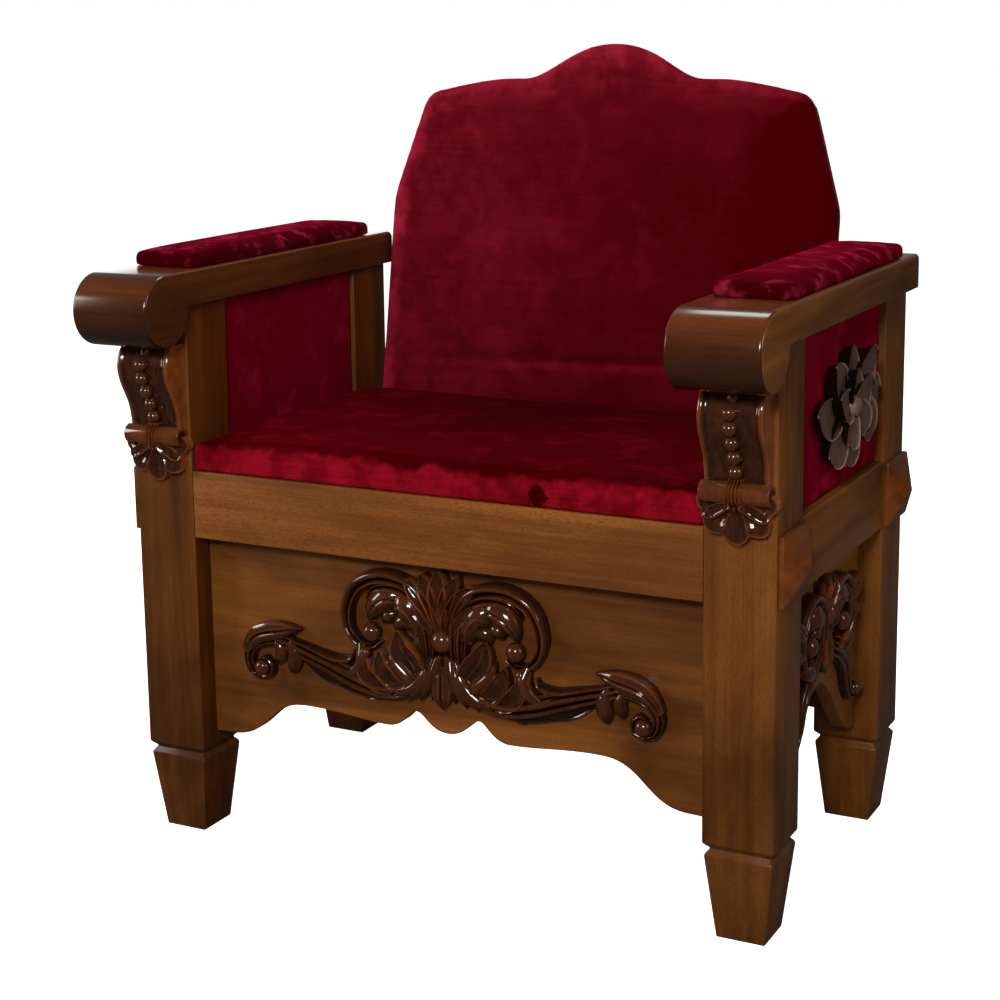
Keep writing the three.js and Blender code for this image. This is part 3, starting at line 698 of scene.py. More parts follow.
def fanned(up, degrees, reach, bend, shares):
    # the path of a tongue that leans out from the middle, and further out towards its tip
    path = []
    for s in shares:
        a = math.radians(degrees) * (1 - bend + bend * s)
        path.append((math.sin(a) * reach * s, up + math.cos(a) * reach * s))
    return path


# legs and rails

legs = {"side": 80, "edge": 1.6, "footHigh": 96, "footTopIn": 1.5, "footBaseIn": 12.4, "groove": 13.4,
        "grooveDeep": 7}
rails = {"edge": 1.5}


def makeLeg(node):
    low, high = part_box(node)
    centre = (low + high) / 2
    half, top = legs["side"] / 2, high.z / mm
    foot, groove = legs["footHigh"], legs["groove"]
    levels = [(0, legs["footBaseIn"]), (foot, legs["footTopIn"]), (foot + groove / 2, legs["grooveDeep"]),
              (foot + groove, 0), (top, 0)]  # height, inset
    bm = bmesh.new()
    bmesh.ops.create_grid(bm, x_segments=1, y_segments=1, size=1)
    ring = list(bm.faces)
    for i, (z, inset) in enumerate(levels):
        if i:
            ring = drawnOut(bm, ring, (0, 0, 0))
        for vert in {v for f in ring for v in f.verts}:
            vert.co.x = math.copysign(half - inset, vert.co.x)
            vert.co.y = math.copysign(half - inset, vert.co.y)
            vert.co.z = z
    bmesh.ops.remove_doubles(bm, verts=bm.verts, dist=0.01)
    inner = [f for f in bm.faces if abs(f.normal.z) > 0.99 and 1 < f.calc_center_median().z < top - 1]
    bmesh.ops.delete(bm, geom=inner, context="FACES_ONLY")
    easeEdges(bm, bm.edges[:], legs["edge"])
    way = math.copysign(1, centre.x)
    # the faces under the arms take a darker wood: painted shade
    finishPiece(bm, node + "_eased", node, [wood("leg", "z"), wood("legInnerShaded", "z")],
                Matrix.Translation((centre.x, centre.y, 0)) @ Matrix.Scale(mm, 4),
                pick=lambda f: 1 if f.normal.x * way < -0.9 else 0)


def makeRail(node, tone, way):
    low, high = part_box(node)
    bm = easedBox(high - low, (low + high) / 2, rails["edge"] * mm)
    finishPiece(bm, node + "_eased", node, [wood(tone, way)])


for row in ("front", "back"):
    for side in ("right", "left"):
        makeLeg(row + "_leg_" + side)
for row in ("front", "back"):
    makeRail(row + "_rail", "rail", "x")
for side in ("right", "left"):
    makeRail("side_rail_" + side, "leg", "y")
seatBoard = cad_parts["seat_board"].data
seatBoard.materials.clear()
seatBoard.materials.append(wood("ply", "x"))


# aprons

aprons = {
    "edge": 1.4, "low": 126, "steps": 14, "bellHalf": 137, "bellRise": 95,
    # left half of the wide arch: a chain of curves, each with two handles between its ends
    "wide": [(-290, 127), (-245, 130), (-240, 174), (-195, 176), (-150, 178), (-110, 169), (-76, 170),
             (-56, 172), (-48, 192), (-41, 192), (-30, 192), (-24, 171), (0, 171)],
}


def wideArch():
    chain = aprons["wide"]
    left = [chain[0]]
    for i in range(0, len(chain) - 1, 3):
        left += bezier(chain[i:i + 4], aprons["steps"])
    return bothHalves(left)


def bellArch():
    half, rise = aprons["bellHalf"], aprons["bellRise"]
    steps = aprons["steps"] * 3
    spots = [half * (2 * i / steps - 1) for i in range(steps + 1)]
    return [(x, aprons["low"] + rise / 2 * (1 + math.cos(math.pi * x / half))) for x in spots]


def makeApron(node, arch, out, way):
    low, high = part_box(node)
    centre = (low + high) / 2
    half = max(high.x - low.x, high.y - low.y) / 2 / mm
    thick = min(high.x - low.x, high.y - low.y) / mm
    foot, top = aprons["low"], high.z / mm
    outline = [(-half, top), (-half, foot), *arch, (half, foot), (half, top)]
    bm = bmesh.new()
    face = bm.faces.new([bm.verts.new((x, y, -thick / 2)) for x, y in outline])
    drawnOut(bm, [face], (0, 0, thick))
    bmesh.ops.recalc_face_normals(bm, faces=bm.faces)
    easeEdges(bm, rimEdges(bm, 2), aprons["edge"])
    finishPiece(bm, node + "_eased", node, [wood("apron", way)],
                boardMatrix((centre.x, centre.y, 0), out), angle=40)


makeApron("front_apron", wideArch(), (0, -1, 0), "x")
makeApron("back_apron", wideArch(), (0, 1, 0), "x")
for side, sign in bothSides:
    makeApron("side_apron_" + side, bellArch(), (sign, 0, 0), "y")
print("legs, rails and aprons made")


# arms

arms = {"inner": 310.4, "outer": 412.4, "low": 649, "rollR": 42, "rollY": -47, "back": 463.5,
        "edge": 6.5, "tailR": 9}


def makeArm(side, sign):
    # seen from the side: across is y from the legs' front face, up is z
    r, low = arms["rollR"], arms["low"]
    rollY, back, tail = arms["rollY"], arms["back"], arms["tailR"]
    outline = list(arc(rollY, low, r, 90, 270, 40))
    outline[-1] = (rollY + r, low - 3)
    outline += [(rollY + r + 0.9, low - 0.9), (rollY + r + 3, low), (back, low)]
    outline += arc(back - tail, low + r - tail, tail, 0, 90, 6)
    bm = bmesh.new()
    face = bm.faces.new([bm.verts.new((0, y, z)) for y, z in outline])
    drawnOut(bm, [face], (arms["outer"] - arms["inner"], 0, 0))
    bmesh.ops.recalc_face_normals(bm, faces=bm.faces)
    easeEdges(bm, rimEdges(bm, 0), arms["edge"], 6)
    shift = Matrix.Translation((sign * arms["inner"] * mm, frontY, 0))

    def grainOf(face):
        # the roll's grain runs across it, the long board's along it
        if abs(face.normal.x) > 0.9:
            # the inner side takes a darker wood: painted shade
            return 1 if face.normal.x * sign > 0 else 3
        return 0 if face.center.y < frontY else 2

    grains = [wood("arm", "x"), wood("armSide", "y"), wood("arm", "y"), wood("armInnerShaded", "y")]
    finishPiece(bm, "arm_carved_" + side, "arm_" + side, grains,
                shift @ Matrix.Diagonal((sign * mm, mm, mm, 1)), angle=30, pick=grainOf)


for side, sign in bothSides:
    makeArm(side, sign)
print("arms made")


# diamond studs

studs = {"side": 76, "slab": 6, "out": 24, "edge": 0.9, "high": 414}


def makeStud(node, sign):
    low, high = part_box(node)
    bm = bmesh.new()
    bmesh.ops.create_grid(bm, x_segments=1, y_segments=1, size=studs["side"] / 2)
    top = drawnOut(bm, list(bm.faces), (0, 0, studs["slab"]))
    point = bmesh.ops.poke(bm, faces=top)["verts"][0]
    point.co.z = studs["out"]
    easeEdges(bm, bm.edges[:], studs["edge"], 2)
    finishPiece(bm, node + "_eased", node, [wood("stud", "y")],
                sideBoard(node, sign, (low.y + high.y) / 2, studs["high"] * mm), angle=25)


for row in ("front", "back"):
    for side, sign in bothSides:
        makeStud(row + "_stud_" + side, sign)


# front onlay, drawn on the apron: x from the middle, y from the floor

def makeFrontOnlay():
    bm = bmesh.new()
    bar, leaf, ball = carvers(bm)
    # C-scroll: a stout outer rim that curls in under its ball
    bar([(14, 258), (14, 288), (20, 318), (36, 340), (60, 349), (88, 348), (112, 334), (124, 308), (122, 284),
         (108, 268), (92, 266), (81, 274)],
        [3.5, 5, 6, 7.6, 8.8, 9, 9.2, 8.8, 7.6, 6, 5, 3], [10, 12, 15, 17, 18, 18, 18, 17, 16, 15, 13, 10],
        "rim", 96, 30)
    # bands that rise from the stem and turn over inside it
    bar([(21, 256), (21, 284), (27, 309), (42, 328), (64, 335), (86, 332), (99, 320)],
        [4.5, 6.5, 8.5, 10, 10, 8, 2.5], [9, 12, 14.5, 15.5, 15.5, 13.5, 8], "tail", 70, 36)
    # two lobes folded over: a round one, and a long one whose tip touches the ball
    leaf([(30, 286), (36, 306), (49, 318), (66, 311)], 14, [9, 11, 13, 8], (-7, 0, 0.62, 0.5, 0.5), vein=-1.0)
    leaf([(50, 322), (68, 326), (85, 316), (96, 296)], 12.5, [10, 12.5, 12.5, 8], (-6.5, 0, 0.45, 0.5, 0.8),
         vein=2.2)
    leaf([(32, 288), (44, 300), (56, 297), (59, 285)], 8, [7, 9, 9, 6], (-4.5, 0, 0.55, 0.5, 0.7))
    leaf([(58, 306), (69, 305), (78, 295)], 7, [8, 10, 6], (-4, 0, 0.5, 0.5, 0.8))
    # thin leaf between the stem and the rim's foot
    bar([(27, 262), (29, 280), (31, 296)], [1.6, 3.6, 3.4, 1.2], [8, 10, 10, 8])
    ball(92, 283, 11.5, 18)
    # palmette: long hollow tongues, the middle one in front
    for degrees, reach, half, high in ((32, 83, 8.8, 15), (16, 82, 9, 15.5)):
        leaf(fanned(282, degrees, reach, 0.7, (0.12, 0.45, 0.75, 1.0)), half, [10, high + 2, high + 5, high + 1],
             (6, 1.6, 0.7, 0.3, 0.75))
    for degrees, reach, half in ((41, 66, 5.5), (8, 56, 4.5)):
        leaf(fanned(282, degrees, reach, 0, (0.15, 0.6, 1.0)), half, [9, 16, 15], (1, 1.0, 0.6, 0.4, 0.8))
    carvedPetal(bm, [(0, 292), (0, 330), (0, 367)], 10.5, [10, 17, 21, 17], (6, 1.6, 0.66, 0.3, 0.8))
    carvedBar(bm, [(0, 288), (0, 320), (0, 342)], [9, 19, 22, 15], [7, 8, 8, 5], "round", 20)
    carvedBall(bm, 0, 284, 13.8, 21, collar=16.5)
    # drop, with blades at each side of it
    carvedPetal(bm, [(0, 254), (0, 232), (0, 203)], 11, [10, 13, 14, 9], (-3, 0, 0.55, 0.35, 0.8), vein=3)
    for path, half, high in (
            ([(4, 266), (7, 244), (15, 212)], 4.6, 11),
            ([(7, 264), (15, 238), (30, 209)], 5.2, 12),
            ([(10, 262), (24, 232), (47, 208)], 6.0, 13),
            ([(13, 262), (31, 230), (66, 209)], 6.5, 13.5)):
        leaf(path, half, [9, high, high, high - 3], (-3.2, 0, 0.5, 0.35, 0.9))
    # ground that the acanthus stands on
    bar([(14, 256), (34, 236), (62, 226), (96, 228), (128, 240)], [6, 14, 17, 16, 13, 8], [6, 7, 7, 7, 6, 5],
        "round", 50, 20)
    # tail, its ridges drawn together towards the curl
    bar([(15, 262), (27, 238), (48, 222), (74, 216), (106, 221), (150, 235), (192, 248), (222, 257), (248, 251),
         (262, 233), (258, 214), (244, 207)],
        [4, 9, 11, 11.5, 13, 13.5, 12.5, 10.5, 9, 8.4, 8, 7, 4.5],
        [10, 13, 15, 15, 15, 14, 13, 13, 13, 13.5, 13.5, 12, 9], "tail", 160, 44)
    bar([(244, 207), (233, 212), (231, 223), (240, 231), (250, 227)], [4.5, 4, 3.4, 3, 1], [9, 10, 10, 10, 7])
    ball(244.5, 219, 10.4, 16)
    # acanthus: three cupped leaves that break away upwards, with their beads
    leaf([(24, 232), (36, 250), (50, 268), (56, 291)], 15, [11, 16, 19, 13], (6.5, 1.0, 0.55, 0.45, 0.95),
         skew=2, vein=-1.2)
    leaf([(30, 226), (46, 238), (60, 252), (66, 268)], 8, [12, 14, 14, 10], (-4.5, 0, 0.5, 0.4, 0.9), skew=-1)
    leaf([(46, 219), (64, 230), (76, 246), (80, 264)], 11.5, [12, 17, 20, 13], (5.5, 1.0, 0.55, 0.45, 0.95),
         skew=2)
    leaf([(66, 216), (84, 224), (97, 237), (102, 256)], 11, [12, 17, 20, 13], (5, 1.0, 0.55, 0.45, 0.85), skew=2)
    ball(70, 250, 6, 18)
    # roll that the tail springs from, and the bands beside it
    leaf([(122, 228), (109, 238), (103, 252), (107, 269)], 7.5, [12, 14, 15, 11], (-5, 0, 0.6, 0.5, 0.5))
    ball(100, 258, 7, 18)
    bar([(38, 236), (56, 222), (86, 218), (118, 228), (146, 240)], [2, 4.5, 5, 4, 0.8], [11, 16, 16.5, 14, 10],
        "round", 50)
    bar([(116, 256), (122, 246), (142, 243), (176, 251), (196, 256)], [3, 5.5, 5, 3.6, 0.8],
        [12, 14, 14, 12, 9], "belly", 44)
    # blades below
    leaf([(60, 218), (92, 211), (148, 213)], 8.5, [5, 6.5, 6, 4], (1, 0.8, 0.3, 0.6, 1.0))
    leaf([(84, 214), (96, 208), (104, 201)], 8, [5, 6, 5, 4], (1, 0.8, 0.5, 0.6, 0.8))
    leaf([(120, 222), (152, 220), (188, 234)], 7, [5, 6.5, 6, 4], (1, 0.8, 0.3, 0.6, 1.0))
    # leaf over the curl, and the two small lobes under it
    leaf([(266, 238), (248, 259), (222, 268), (188, 273)], 11, [11, 15, 16, 10], (-3.5, 0, 0.45, 0.4, 1.0),
         skew=-1, vein=3.4)
    leaf([(206, 256), (198, 240), (203, 217)], 8.8, [9, 10, 10, 7], (-4.5, 0, 0.6, 0.5, 0.55))
    leaf([(226, 257), (217, 243), (222, 226)], 7, [9, 10, 10, 7], (-4, 0, 0.6, 0.5, 0.55))
    finishPiece(bm, "front_onlay_carved", "front_onlay", [carvedFront],
                boardMatrix((0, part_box("front_onlay")[1].y, 0), (0, -1, 0)), angle=60)


makeFrontOnlay()
print("front onlay carved")


# side onlays

def makeSideOnlay(side, sign):
    bm = bmesh.new()
    bar, leaf, ball = carvers(bm)
    # C-scroll with a stout rim, a folded leaf and a ball
    bar([(11, 258), (11, 288), (19, 315), (40, 332), (66, 330), (84, 312), (87, 286), (77, 266), (60, 259),
         (48, 268)], [4, 6.5, 8.5, 9.5, 9.5, 9.2, 8.6, 7.6, 6, 3.5], [10, 13, 16, 17, 17, 16.5, 16, 15, 13, 10],
        "rim", 80, 30)
    leaf([(22, 292), (32, 310), (48, 316), (66, 302)], 12.5, [9, 12, 13, 8], (-6, 0, 0.55, 0.5, 0.6), vein=1.6)
    leaf([(24, 284), (36, 294), (46, 288)], 7, [8, 10, 7], (-4, 0, 0.55, 0.5, 0.6))
    ball(57, 284, 12.5, 18)
    # palmette and its ball
    for degrees, reach, half in ((25, 49, 9), (48, 42, 7)):
        leaf(fanned(304, degrees, reach, 0.5, (0.1, 0.5, 1.0)), half, [11, 14, 16, 13], (4, 0.9, 0.62, 0.35, 0.75))
    carvedPetal(bm, [(0, 310), (0, 332), (0, 354)], 10, [12, 15, 18, 14], (4.5, 0.9, 0.62, 0.35, 0.75))
    carvedBall(bm, 0, 304, 11.5, 18, collar=13)
    # drop
    carvedPetal(bm, [(0, 294), (0, 266), (0, 237)], 11, [10, 13, 14, 9], (-3, 0, 0.55, 0.4, 0.8), vein=3)
    # tail that runs down the board to a ball
    bar([(9, 280), (26, 260), (54, 246), (76, 226), (88, 199), (101, 182), (124, 177)],
        [5, 9, 11.5, 12, 11, 9, 6], [9, 12, 14, 14, 13, 12, 9], "tail", 76, 40)
    ball(118, 183, 8.5, 15)
    # leaves that turn outwards
    leaf([(72, 308), (94, 309), (118, 327)], 9.5, [10, 13, 14, 9], (-4, 0, 0.5, 0.5, 0.8), vein=2)
    leaf([(80, 286), (98, 284), (117, 293)], 7, [9, 12, 12, 8], (-3.5, 0, 0.5, 0.5, 0.8))
    leaf([(50, 249), (68, 257), (92, 262)], 8, [12, 15, 15, 9], (-3, 0.4, 0.5, 0.5, 0.9))
    node = "side_onlay_" + side
    finishPiece(bm, "side_onlay_carved_" + side, node, [carvedSide],
                sideBoard(node, sign, middleY), angle=60)


for side, sign in bothSides:
    makeSideOnlay(side, sign)


# rosettes: broad petals that overlap, then a smaller ring and a button

rosettes = {
    "high": 548,
    # tip across, tip up, half width, and for the outer ring the height
    "outer": [(108, -4, 28, 9), (86, 44, 28, 12), (14, 66, 29, 9), (-64, 52, 28, 12),
              (-112, 6, 28, 9), (-82, -44, 28, 12), (-10, -67, 29, 9), (76, -46, 28, 12)],
    "inner": [(56, 14, 22), (2, 43, 22), (-58, 16, 22), (-30, -39, 22), (36, -36, 21)],
}


def makeRosette(side, sign):
    bm = bmesh.new()

    def petal(x, y, start, bend, half, heights, widest, root, **more):
        bend /= math.hypot(x, y)
        path = [(x * start, y * start), (x * 0.55 - y * bend, y * 0.55 + x * bend), (x, y)]
        carvedPetal(bm, path, half, heights, (3.4, 1.2, widest, root, 0.52), skew=1.6, **more)

    for x, y, half, high in rosettes["outer"]:
        half *= 0.72 + 0.18 * 66 / math.hypot(x, y)
        petal(x, y, 0.08, 7, half, [high * 0.6, high, high * 1.25, high * 1.2], 0.62, 0.35,
              curl=-14, under=0.9, steps=40, across=30)
    for x, y, half in rosettes["inner"]:
        petal(x, y, 0, 4, half * 0.88, [12, 16, 19, 19], 0.6, 0.4, curl=-16, under=0.8, steps=36, across=26)
    addBall(bm, (0, 0, 12), (15, 12.5, 10), 28, 18)
    node = "rosette_" + side
    # faces that do not look out from the board take the near-black wax: painted shade
    finishPiece(bm, "rosette_carved_" + side, node, [carvedDull, carvedShadeWalls],
                sideBoard(node, sign, middleY, rosettes["high"] * mm), angle=60,
                pick=lambda f: 1 if sign * f.normal.x < 0.12 else 0)


for side, sign in bothSides:
    makeRosette(side, sign)
print("side onlays and rosettes carved")


# corbels

corbels = {
    "half": 35, "fillet": 5, "sunk": 2.6,
    "curve": [(605.5, 22), (598, 29), (588, 33.5), (576, 35), (562, 31.5), (546, 23.5), (530, 16), (512, 12.5),
              (499, 11)],  # height, out
    "rollR": 11.5, "rollHalf": 38, "rollHigh": 497, "rollOut": 12.5,
    "beads": [519.5, 535.5, 551.5, 567.5, 583.5], "beadR": 7.8, "linkR": 5.5, "linkHigh": 598,
    # x of each cord at its top, through the roll and at its foot
    "cords": [(-8.4, -7.2, -14), (-4.2, -3.6, -7), (0, 0, 0), (4.2, 3.6, 7), (8.4, 7.2, 14)],
    "shellHub": 496, "shellLobes": 5, "shellSpread": 196, "shellReach": 53, "shellEye": 4,
}


def corbelOut(z):
    curve = corbels["curve"]
    for (z0, out0), (z1, out1) in zip(curve, curve[1:]):
        if z >= z1:
            return out1 + (out0 - out1) * (z - z1) / (z0 - z1)
    return curve[-1][1]


def makeTongue(bm):
    # a grid bent over the S, its sides brought down to the leg
    half, fillet, deep = corbels["half"], corbels["fillet"], corbels["sunk"]
    steps, across = 60, 40
    profile = smoothPath([(out, z) for z, out in corbels["curve"]], steps)
    verts = bmesh.ops.create_grid(bm, x_segments=steps, y_segments=across, size=1)["verts"]
    for vert in verts:
        u = vert.co.y
        at = (vert.co.x + 1) / 2 * (len(profile) - 1)
        i = min(int(at), len(profile) - 2)
        spot = profile[i].lerp(profile[i + 1], at - i)
        x = clamp(u / (1 - 2 / across)) * half
        rim = (half - abs(x)) / fillet
        drop = 0.0
        if rim > 1:
            drop = deep * min(1, (rim - 1) / 0.35) + 0.9 * (1 - (x / (half - fillet)) ** 2)
        elif rim < 0.3:
            drop = 1.2 * (1 - rim / 0.3) ** 2
        vert.co = Vector((x, spot.y, sunk if abs(u) > 1 - 1 / across else spot.x - drop))
    closeFoot(bm, verts)


def makeBeads(bm):
    # the topmost bead is half hidden under the arm
    r, deep = corbels["beadR"], corbels["sunk"]
    for z in corbels["beads"]:
        bead = addBall(bm, (0, z, corbelOut(z) - deep + 4), (r, r, r), 24, 16)
        for face in {f for v in bead for f in v.link_faces}:
            face.material_index = 1
    z, r = corbels["linkHigh"], corbels["linkR"]
    addBall(bm, (0, z, corbelOut(z) - deep - 1), (r, r, r), 20, 12)


def makeRoll(bm):
    # a cross roll with sunk ends, and cords drawn together over it
    r = corbels["rollR"]
    roll = bmesh.ops.create_cone(bm, cap_ends=True, segments=40, radius1=r, radius2=r,
                                 depth=2 * corbels["rollHalf"])["verts"]
    caps = [f for f in {f for v in roll for f in v.link_faces} if len(f.verts) > 4]
    easeEdges(bm, [e for f in caps for e in f.edges], 1.3)
    caps = [f for f in bm.faces if len(f.verts) == 40]
    bmesh.ops.inset_individual(bm, faces=caps, thickness=2.5, depth=0)
    bmesh.ops.inset_individual(bm, faces=caps, thickness=0.8, depth=-1.2)
    new = {v for f in caps for v in f.verts}
    whole = set(new)
    while new:
        new = {o for v in new for e in v.link_edges for o in e.verts} - whole
        whole |= new
    lift = Matrix.Translation((0, corbels["rollHigh"], corbels["rollOut"]))
    bmesh.ops.transform(bm, matrix=lift @ Matrix.Rotation(math.pi / 2, 4, "Y"), verts=list(whole))
    for top, middle, foot in corbels["cords"]:
        high = 1.6 - abs(top) * 0.24
        carvedBar(bm, [(top * 0.8, 512), (middle, 503), (middle, 492), (foot, 474)], [1.8, 2.5, 2.6, 3.4, 1.2],
                  [level + high for level in (19, 25, 26, 20, 13)], "round", 28, 12)


def makeShell(bm):
    # one scalloped fan, hollow in each lobe, with a ridge between lobes
    steps, across = 100, 24
    verts = bmesh.ops.create_grid(bm, x_segments=steps, y_segments=across, size=1)["verts"]
    for vert in verts:
        turn = clamp(vert.co.x / (1 - 2 / steps))
        r = (clamp(vert.co.y / (1 - 2 / across)) + 1) / 2
        lobe = 1 - abs(2 * ((turn + 1) / 2 * corbels["shellLobes"] % 1.0) - 1) ** 1.6
        far = corbels["shellReach"] * (1 - 0.26 * turn * turn) * (0.83 + 0.19 * lobe)
        out = corbels["shellEye"] + (far - corbels["shellEye"]) * r
        a = math.radians(turn * corbels["shellSpread"] / 2)
        foot = abs(vert.co.x) > 1 - 1 / steps or abs(vert.co.y) > 1 - 1 / across
        high = along([17.5, 15, 12.5, 12, 13.5, 13], r) - 3.6 * (lobe - 0.5) * min(1, r * 1.6)
        high -= 7.5 * max(0.0, r - 0.9)
        y = corbels["shellHub"] - math.cos(a) * out * (1.0 if math.cos(a) > 0 else 0.6)
        vert.co = Vector((math.sin(a) * out, y, sunk if foot else max(0.5, high)))
    closeFoot(bm, verts)


def makeCorbel(side, sign):
    node = "corbel_" + side
    low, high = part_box(node)
    bm = bmesh.new()
    makeTongue(bm)
    makeBeads(bm)
    makeRoll(bm)
    makeShell(bm)
    # side leaves that curl up under the roll's ends
    for way in (-1, 1):
        carvedPetal(bm, [(6 * way, 486), (19 * way, 480), (30 * way, 474), (34 * way, 479)], 6, [20, 18, 17, 14],
                    (1.5, 0.8, 0.6, 0.5, 0.5), steps=30, across=16)
    finishPiece(bm, "corbel_carved_" + side, node, [carved, carvedBead],
                boardMatrix(((low.x + high.x) / 2, high.y, 0), (0, -1, 0)), angle=50)


for side, sign in bothSides:
    makeCorbel(side, sign)
print("corbels carved")


# upholstery: the cover of each pad swells under pressure, and is tacked down on its hidden faces

cloths = {"frames": 14, "quality": 4, "stiffness": 40, "bending": 2}


def swell(pad, tacked, pressure, cap):
    start = [v.co.copy() for v in pad.data.vertices]
    group = pad.vertex_groups.new(name="held")
    group.add([i for i, co in enumerate(start) if tacked(co)], 1.0, "REPLACE")
    cloth = pad.modifiers.new("cloth", "CLOTH")
    cloth.settings.use_pressure = True
    cloth.settings.uniform_pressure_force = pressure
    cloth.settings.effector_weights.gravity = 0
    cloth.settings.vertex_group_mass = "held"
    cloth.settings.quality = cloths["quality"]
    cloth.settings.tension_stiffness = cloths["stiffness"]
    cloth.settings.compression_stiffness = cloths["stiffness"]
    cloth.settings.bending_stiffness = cloths["bending"]
    cloth.collision_settings.use_collision = False
    for number in range(1, cloths["frames"] + 1):
        scene.frame_set(number)
    ready = pad.evaluated_get(bpy.context.evaluated_depsgraph_get())
    moved = [v.co.copy() for v in ready.data.vertices]
    pad.modifiers.remove(cloth)
    pad.vertex_groups.remove(group)
    for vert, a, b in zip(pad.data.vertices, start, moved):
        way = b - a
        if way.length > cap:
            way = way.normalized() * cap
        vert.co = a + way
    scene.frame_set(1)


def roundedSlab(bm, outline, low, high, edge, segments=6):
    # outline in plan, walls up, upper rim rounded
    face = bm.faces.new([bm.verts.new((x, y, low)) for x, y in outline])
    drawnOut(bm, [face], (0, 0, high - low))
    bmesh.ops.recalc_face_normals(bm, faces=bm.faces)
    easeEdges(bm, [e for e in bm.edges if min(v.co.z for v in e.verts) > high - 1e-5], edge, segments)


def roundedOutline(x0, x1, y0, y1, radius):
    spots = []
    for x, y, start in ((x1 - radius, y0 + radius, -90), (x1 - radius, y1 - radius, 0),
                        (x0 + radius, y1 - radius, 90), (x0 + radius, y0 + radius, 180)):
        spots += arc(x, y, radius, start, 90, 6)
    return spots


def soften(bm):
    bmesh.ops.smooth_vert(bm, verts=bm.verts, factor=0.5, use_axis_x=True, use_axis_y=True, use_axis_z=True)


def padPiece(bm, name, node, material, voxel, tacked=None, pressure=0.0, cap=0.0, shape=None):
    bmesh.ops.recalc_face_normals(bm, faces=bm.faces)
    pad = addObject(name, bm)
    bpy.ops.object.select_all(action="DESELECT")
    bpy.context.view_layer.objects.active = pad
    pad.select_set(True)
    pad.data.remesh_voxel_size = voxel
    pad.data.remesh_voxel_adaptivity = 0
    bpy.ops.object.voxel_remesh()
    if pressure:
        swell(pad, tacked, pressure, cap)
    work = bmesh.new()
    work.from_mesh(pad.data)
    soften(work)
    soften(work)
    if shape:
        for vert in work.verts:
            vert.co = shape(vert.co)
    bmesh.ops.subdivide_edges(work, edges=work.edges[:], cuts=1, use_grid_fill=True, smooth=0)
    soften(work)
    work.to_mesh(pad.data)
    work.free()
    pad.data.materials.clear()
    pad.data.materials.append(material)
    pad.data.shade_smooth()
    fitPiece(pad, node)


backs = {
    # millimetres, from the back's foot on the rail up its leaning face
    "half": 309, "foot": 8, "waist": 292, "shoulder": 421, "shoulderHalf": 273, "brow": 450.5, "crest": 495,
    "lean": 10.1, "rim": 0.019, "footY": 0.3996,
    # where the left side starts to slope in, in metres, and how steeply
    "waistZ": railTop + 0.288, "slope": 0.27,
}
# painted sheen: the seat's front face is brightened
seatVelvet = velvetMaterial(
    "velvet seat", (0.042, 0.0003, 0.0011), (0.34, 0.006, 0.018), 0.22, 0.09, 0.12,
    paintedLights=[("Y", frontY + 0.003, frontY + 0.013, 0.6)], bald=((0.13, frontY, railTop + 0.012), 0.012))
# painted sheen towards the left side, along its sloping edge, on the crest and where the surface leans left or up;
# painted shade towards the right
backVelvet = velvetMaterial(
    "velvet back", (0.062, 0.0003, 0.0020), (0.52, 0.024, 0.058), 0.05, 0.08, 0.22,
    paintedLights=[("X", -0.34, 0.30, 0.15), ("side", -0.304, -0.268, 0.40), ("lean X", -0.75, -0.12, 0.4),
           ("Z", 0.94, 0.85, 0.20), ("lean Z", 0.75, 0.22, 0.2), ("X", 0.30, 0.16, -0.2)])
padVelvet = velvetMaterial("velvet arm pads", (0.044, 0.0004, 0.0024), (0.36, 0.018, 0.054), 0.66, 0.05, 0.2, 1.9)
panelVelvet = velvetMaterial("velvet side panels", (0.120, 0.0008, 0.0066), (0.34, 0.010, 0.040), 0.4, 0.25, 0.15)


def makeSeat():
    low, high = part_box("seat_cushion")
    clear, top = 0.0008, high.z - 0.0035
    bm = bmesh.new()
    outline = roundedOutline(low.x + clear, high.x - clear, low.y + 0.0005, high.y - clear, 0.004)
    roundedSlab(bm, outline, low.z + 0.0005, top, 0.009)
    padPiece(bm, "seat_pad", "seat_cushion", seatVelvet, 0.0055, lambda co: co.z < top - 0.010, 3.0, 0.006)


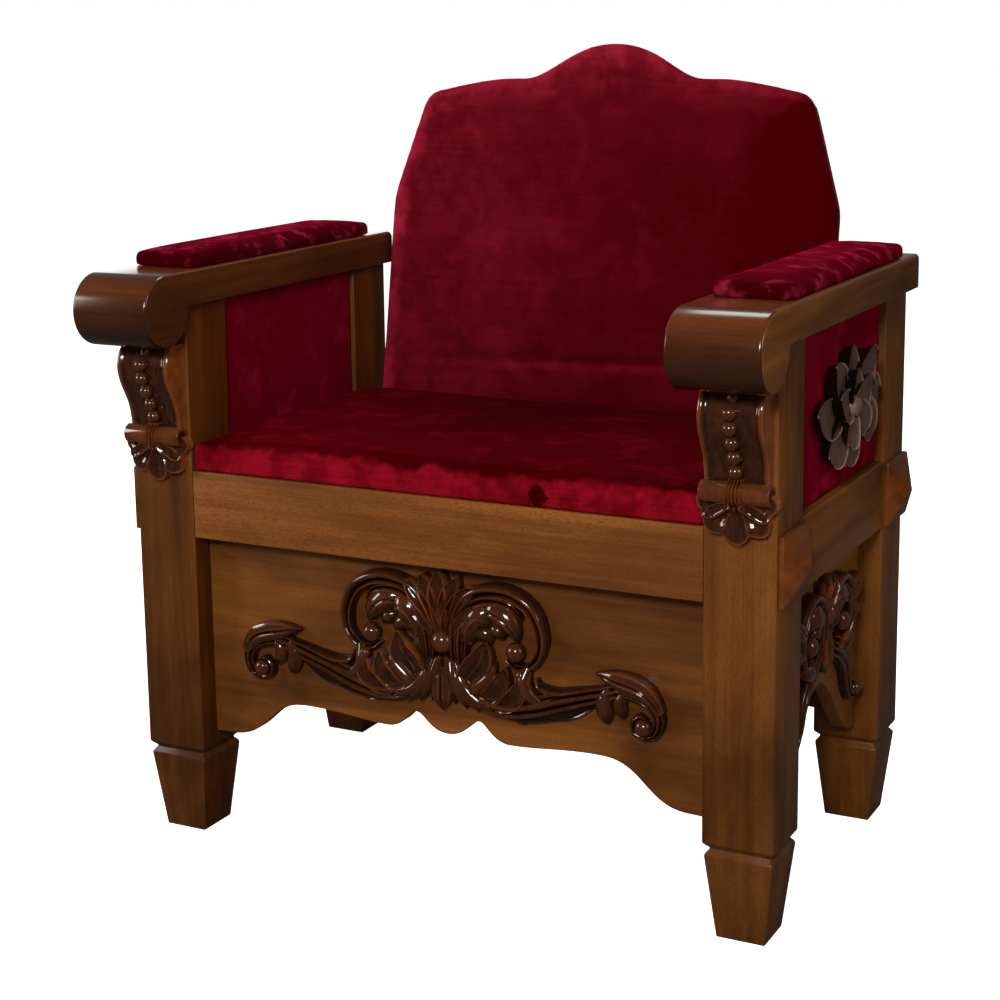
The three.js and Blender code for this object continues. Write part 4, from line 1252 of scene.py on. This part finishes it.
def makeBack():
    half, foot, waist, brow = (backs[key] for key in ("half", "foot", "waist", "brow"))
    shoulder, shoulderHalf = backs["shoulder"], backs["shoulderHalf"]
    right = [Vector((half, foot)), Vector((half, waist - 12))]
    right += bezier([(half, waist - 12), (half, waist - 4), (half - 1.3, waist + 4), (half - 4, waist + 13)], 6)
    right += [Vector((shoulderHalf, shoulder - 12))]
    right += bezier([(shoulderHalf, shoulder - 12), (shoulderHalf - 4, shoulder + 4),
                     (shoulderHalf - 13, shoulder + 13), (246, brow - 15.5)], 10)
    right += bezier([(246, brow - 15.5), (200, brow - 5), (165, brow), (150, brow)], 10)
    right += [Vector((124, brow))]
    right += bezier([(124, brow), (88, brow), (62, backs["crest"]), (0, backs["crest"])], 20)
    middle, shrink = 225, 0.997
    outline = [(x * shrink * mm, (middle + (y - middle) * shrink) * mm) for x, y in bothHalves(right)]
    bm = bmesh.new()
    roundedSlab(bm, outline, -0.0298, -0.0015, backs["rim"], 8)
    root = Vector((0, frontY + backs["footY"], railTop))
    stand = Matrix.Translation(root) @ Matrix.Rotation(math.pi / 2 - math.radians(backs["lean"]), 4, "X")
    bmesh.ops.transform(bm, matrix=stand, verts=bm.verts)
    flat = stand.inverted()

    def creased(co):
        # one soft crease low on the front, with a dimple at its left end
        at = flat @ co
        if at.z < -0.012:
            return co
        line = 0.086 + 0.03 * at.x
        fade = max(0.0, 1 - (abs(at.x + 0.02) / 0.27) ** 4)
        dent = 0.0055 * fade * math.exp(-((at.y - line) / 0.0085) ** 2)
        dent += 0.005 * math.exp(-((at.y - 0.100) / 0.009) ** 2 - ((at.x + 0.20) / 0.018) ** 2)
        return stand @ Vector((at.x, at.y, at.z - dent))

    padPiece(bm, "back_pad", "back_cushion", backVelvet, 0.0055, lambda co: (flat @ co).z < -0.017, 2.5, 0.005,
             creased)


def makeArmPad(side):
    node = "arm_pad_" + side
    low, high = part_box(node)
    bm = bmesh.new()
    roundedSlab(bm, roundedOutline(low.x, high.x, low.y, high.y, 0.016), low.z, high.z - 0.002, 0.007)
    padPiece(bm, "arm_pad_velvet_" + side, node, padVelvet, 0.0035, lambda co: co.z < high.z - 0.008, 3.0,
             0.004)


def makePanel(side):
    node = "side_panel_" + side
    low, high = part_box(node)
    size = high - low - Vector((0.003, 0.001, 0.001))
    padPiece(easedBox(size, (low + high) / 2, 0.005, 4), "side_panel_velvet_" + side, node, panelVelvet, 0.005)


makeSeat()
makeBack()
for side in ("right", "left"):
    makeArmPad(side)
for side in ("right", "left"):
    makePanel(side)
print("upholstery made")


# board behind the back

backBoards = {"edge": 0.002, "cornerOver": 60}


def makeBackBoard():
    bm = bmesh.new()
    bm.from_mesh(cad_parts["back_board"].data)
    bmesh.ops.remove_doubles(bm, verts=bm.verts, dist=1e-5)
    bmesh.ops.dissolve_limit(bm, angle_limit=math.radians(1), verts=bm.verts, edges=bm.edges)
    corner = math.radians(backBoards["cornerOver"])
    easeEdges(bm, [e for e in bm.edges if len(e.link_faces) == 2 and e.calc_face_angle(0) > corner],
              backBoards["edge"])
    finishPiece(bm, "back_board_eased", "back_board", [wood("backing", "z")])


makeBackBoard()
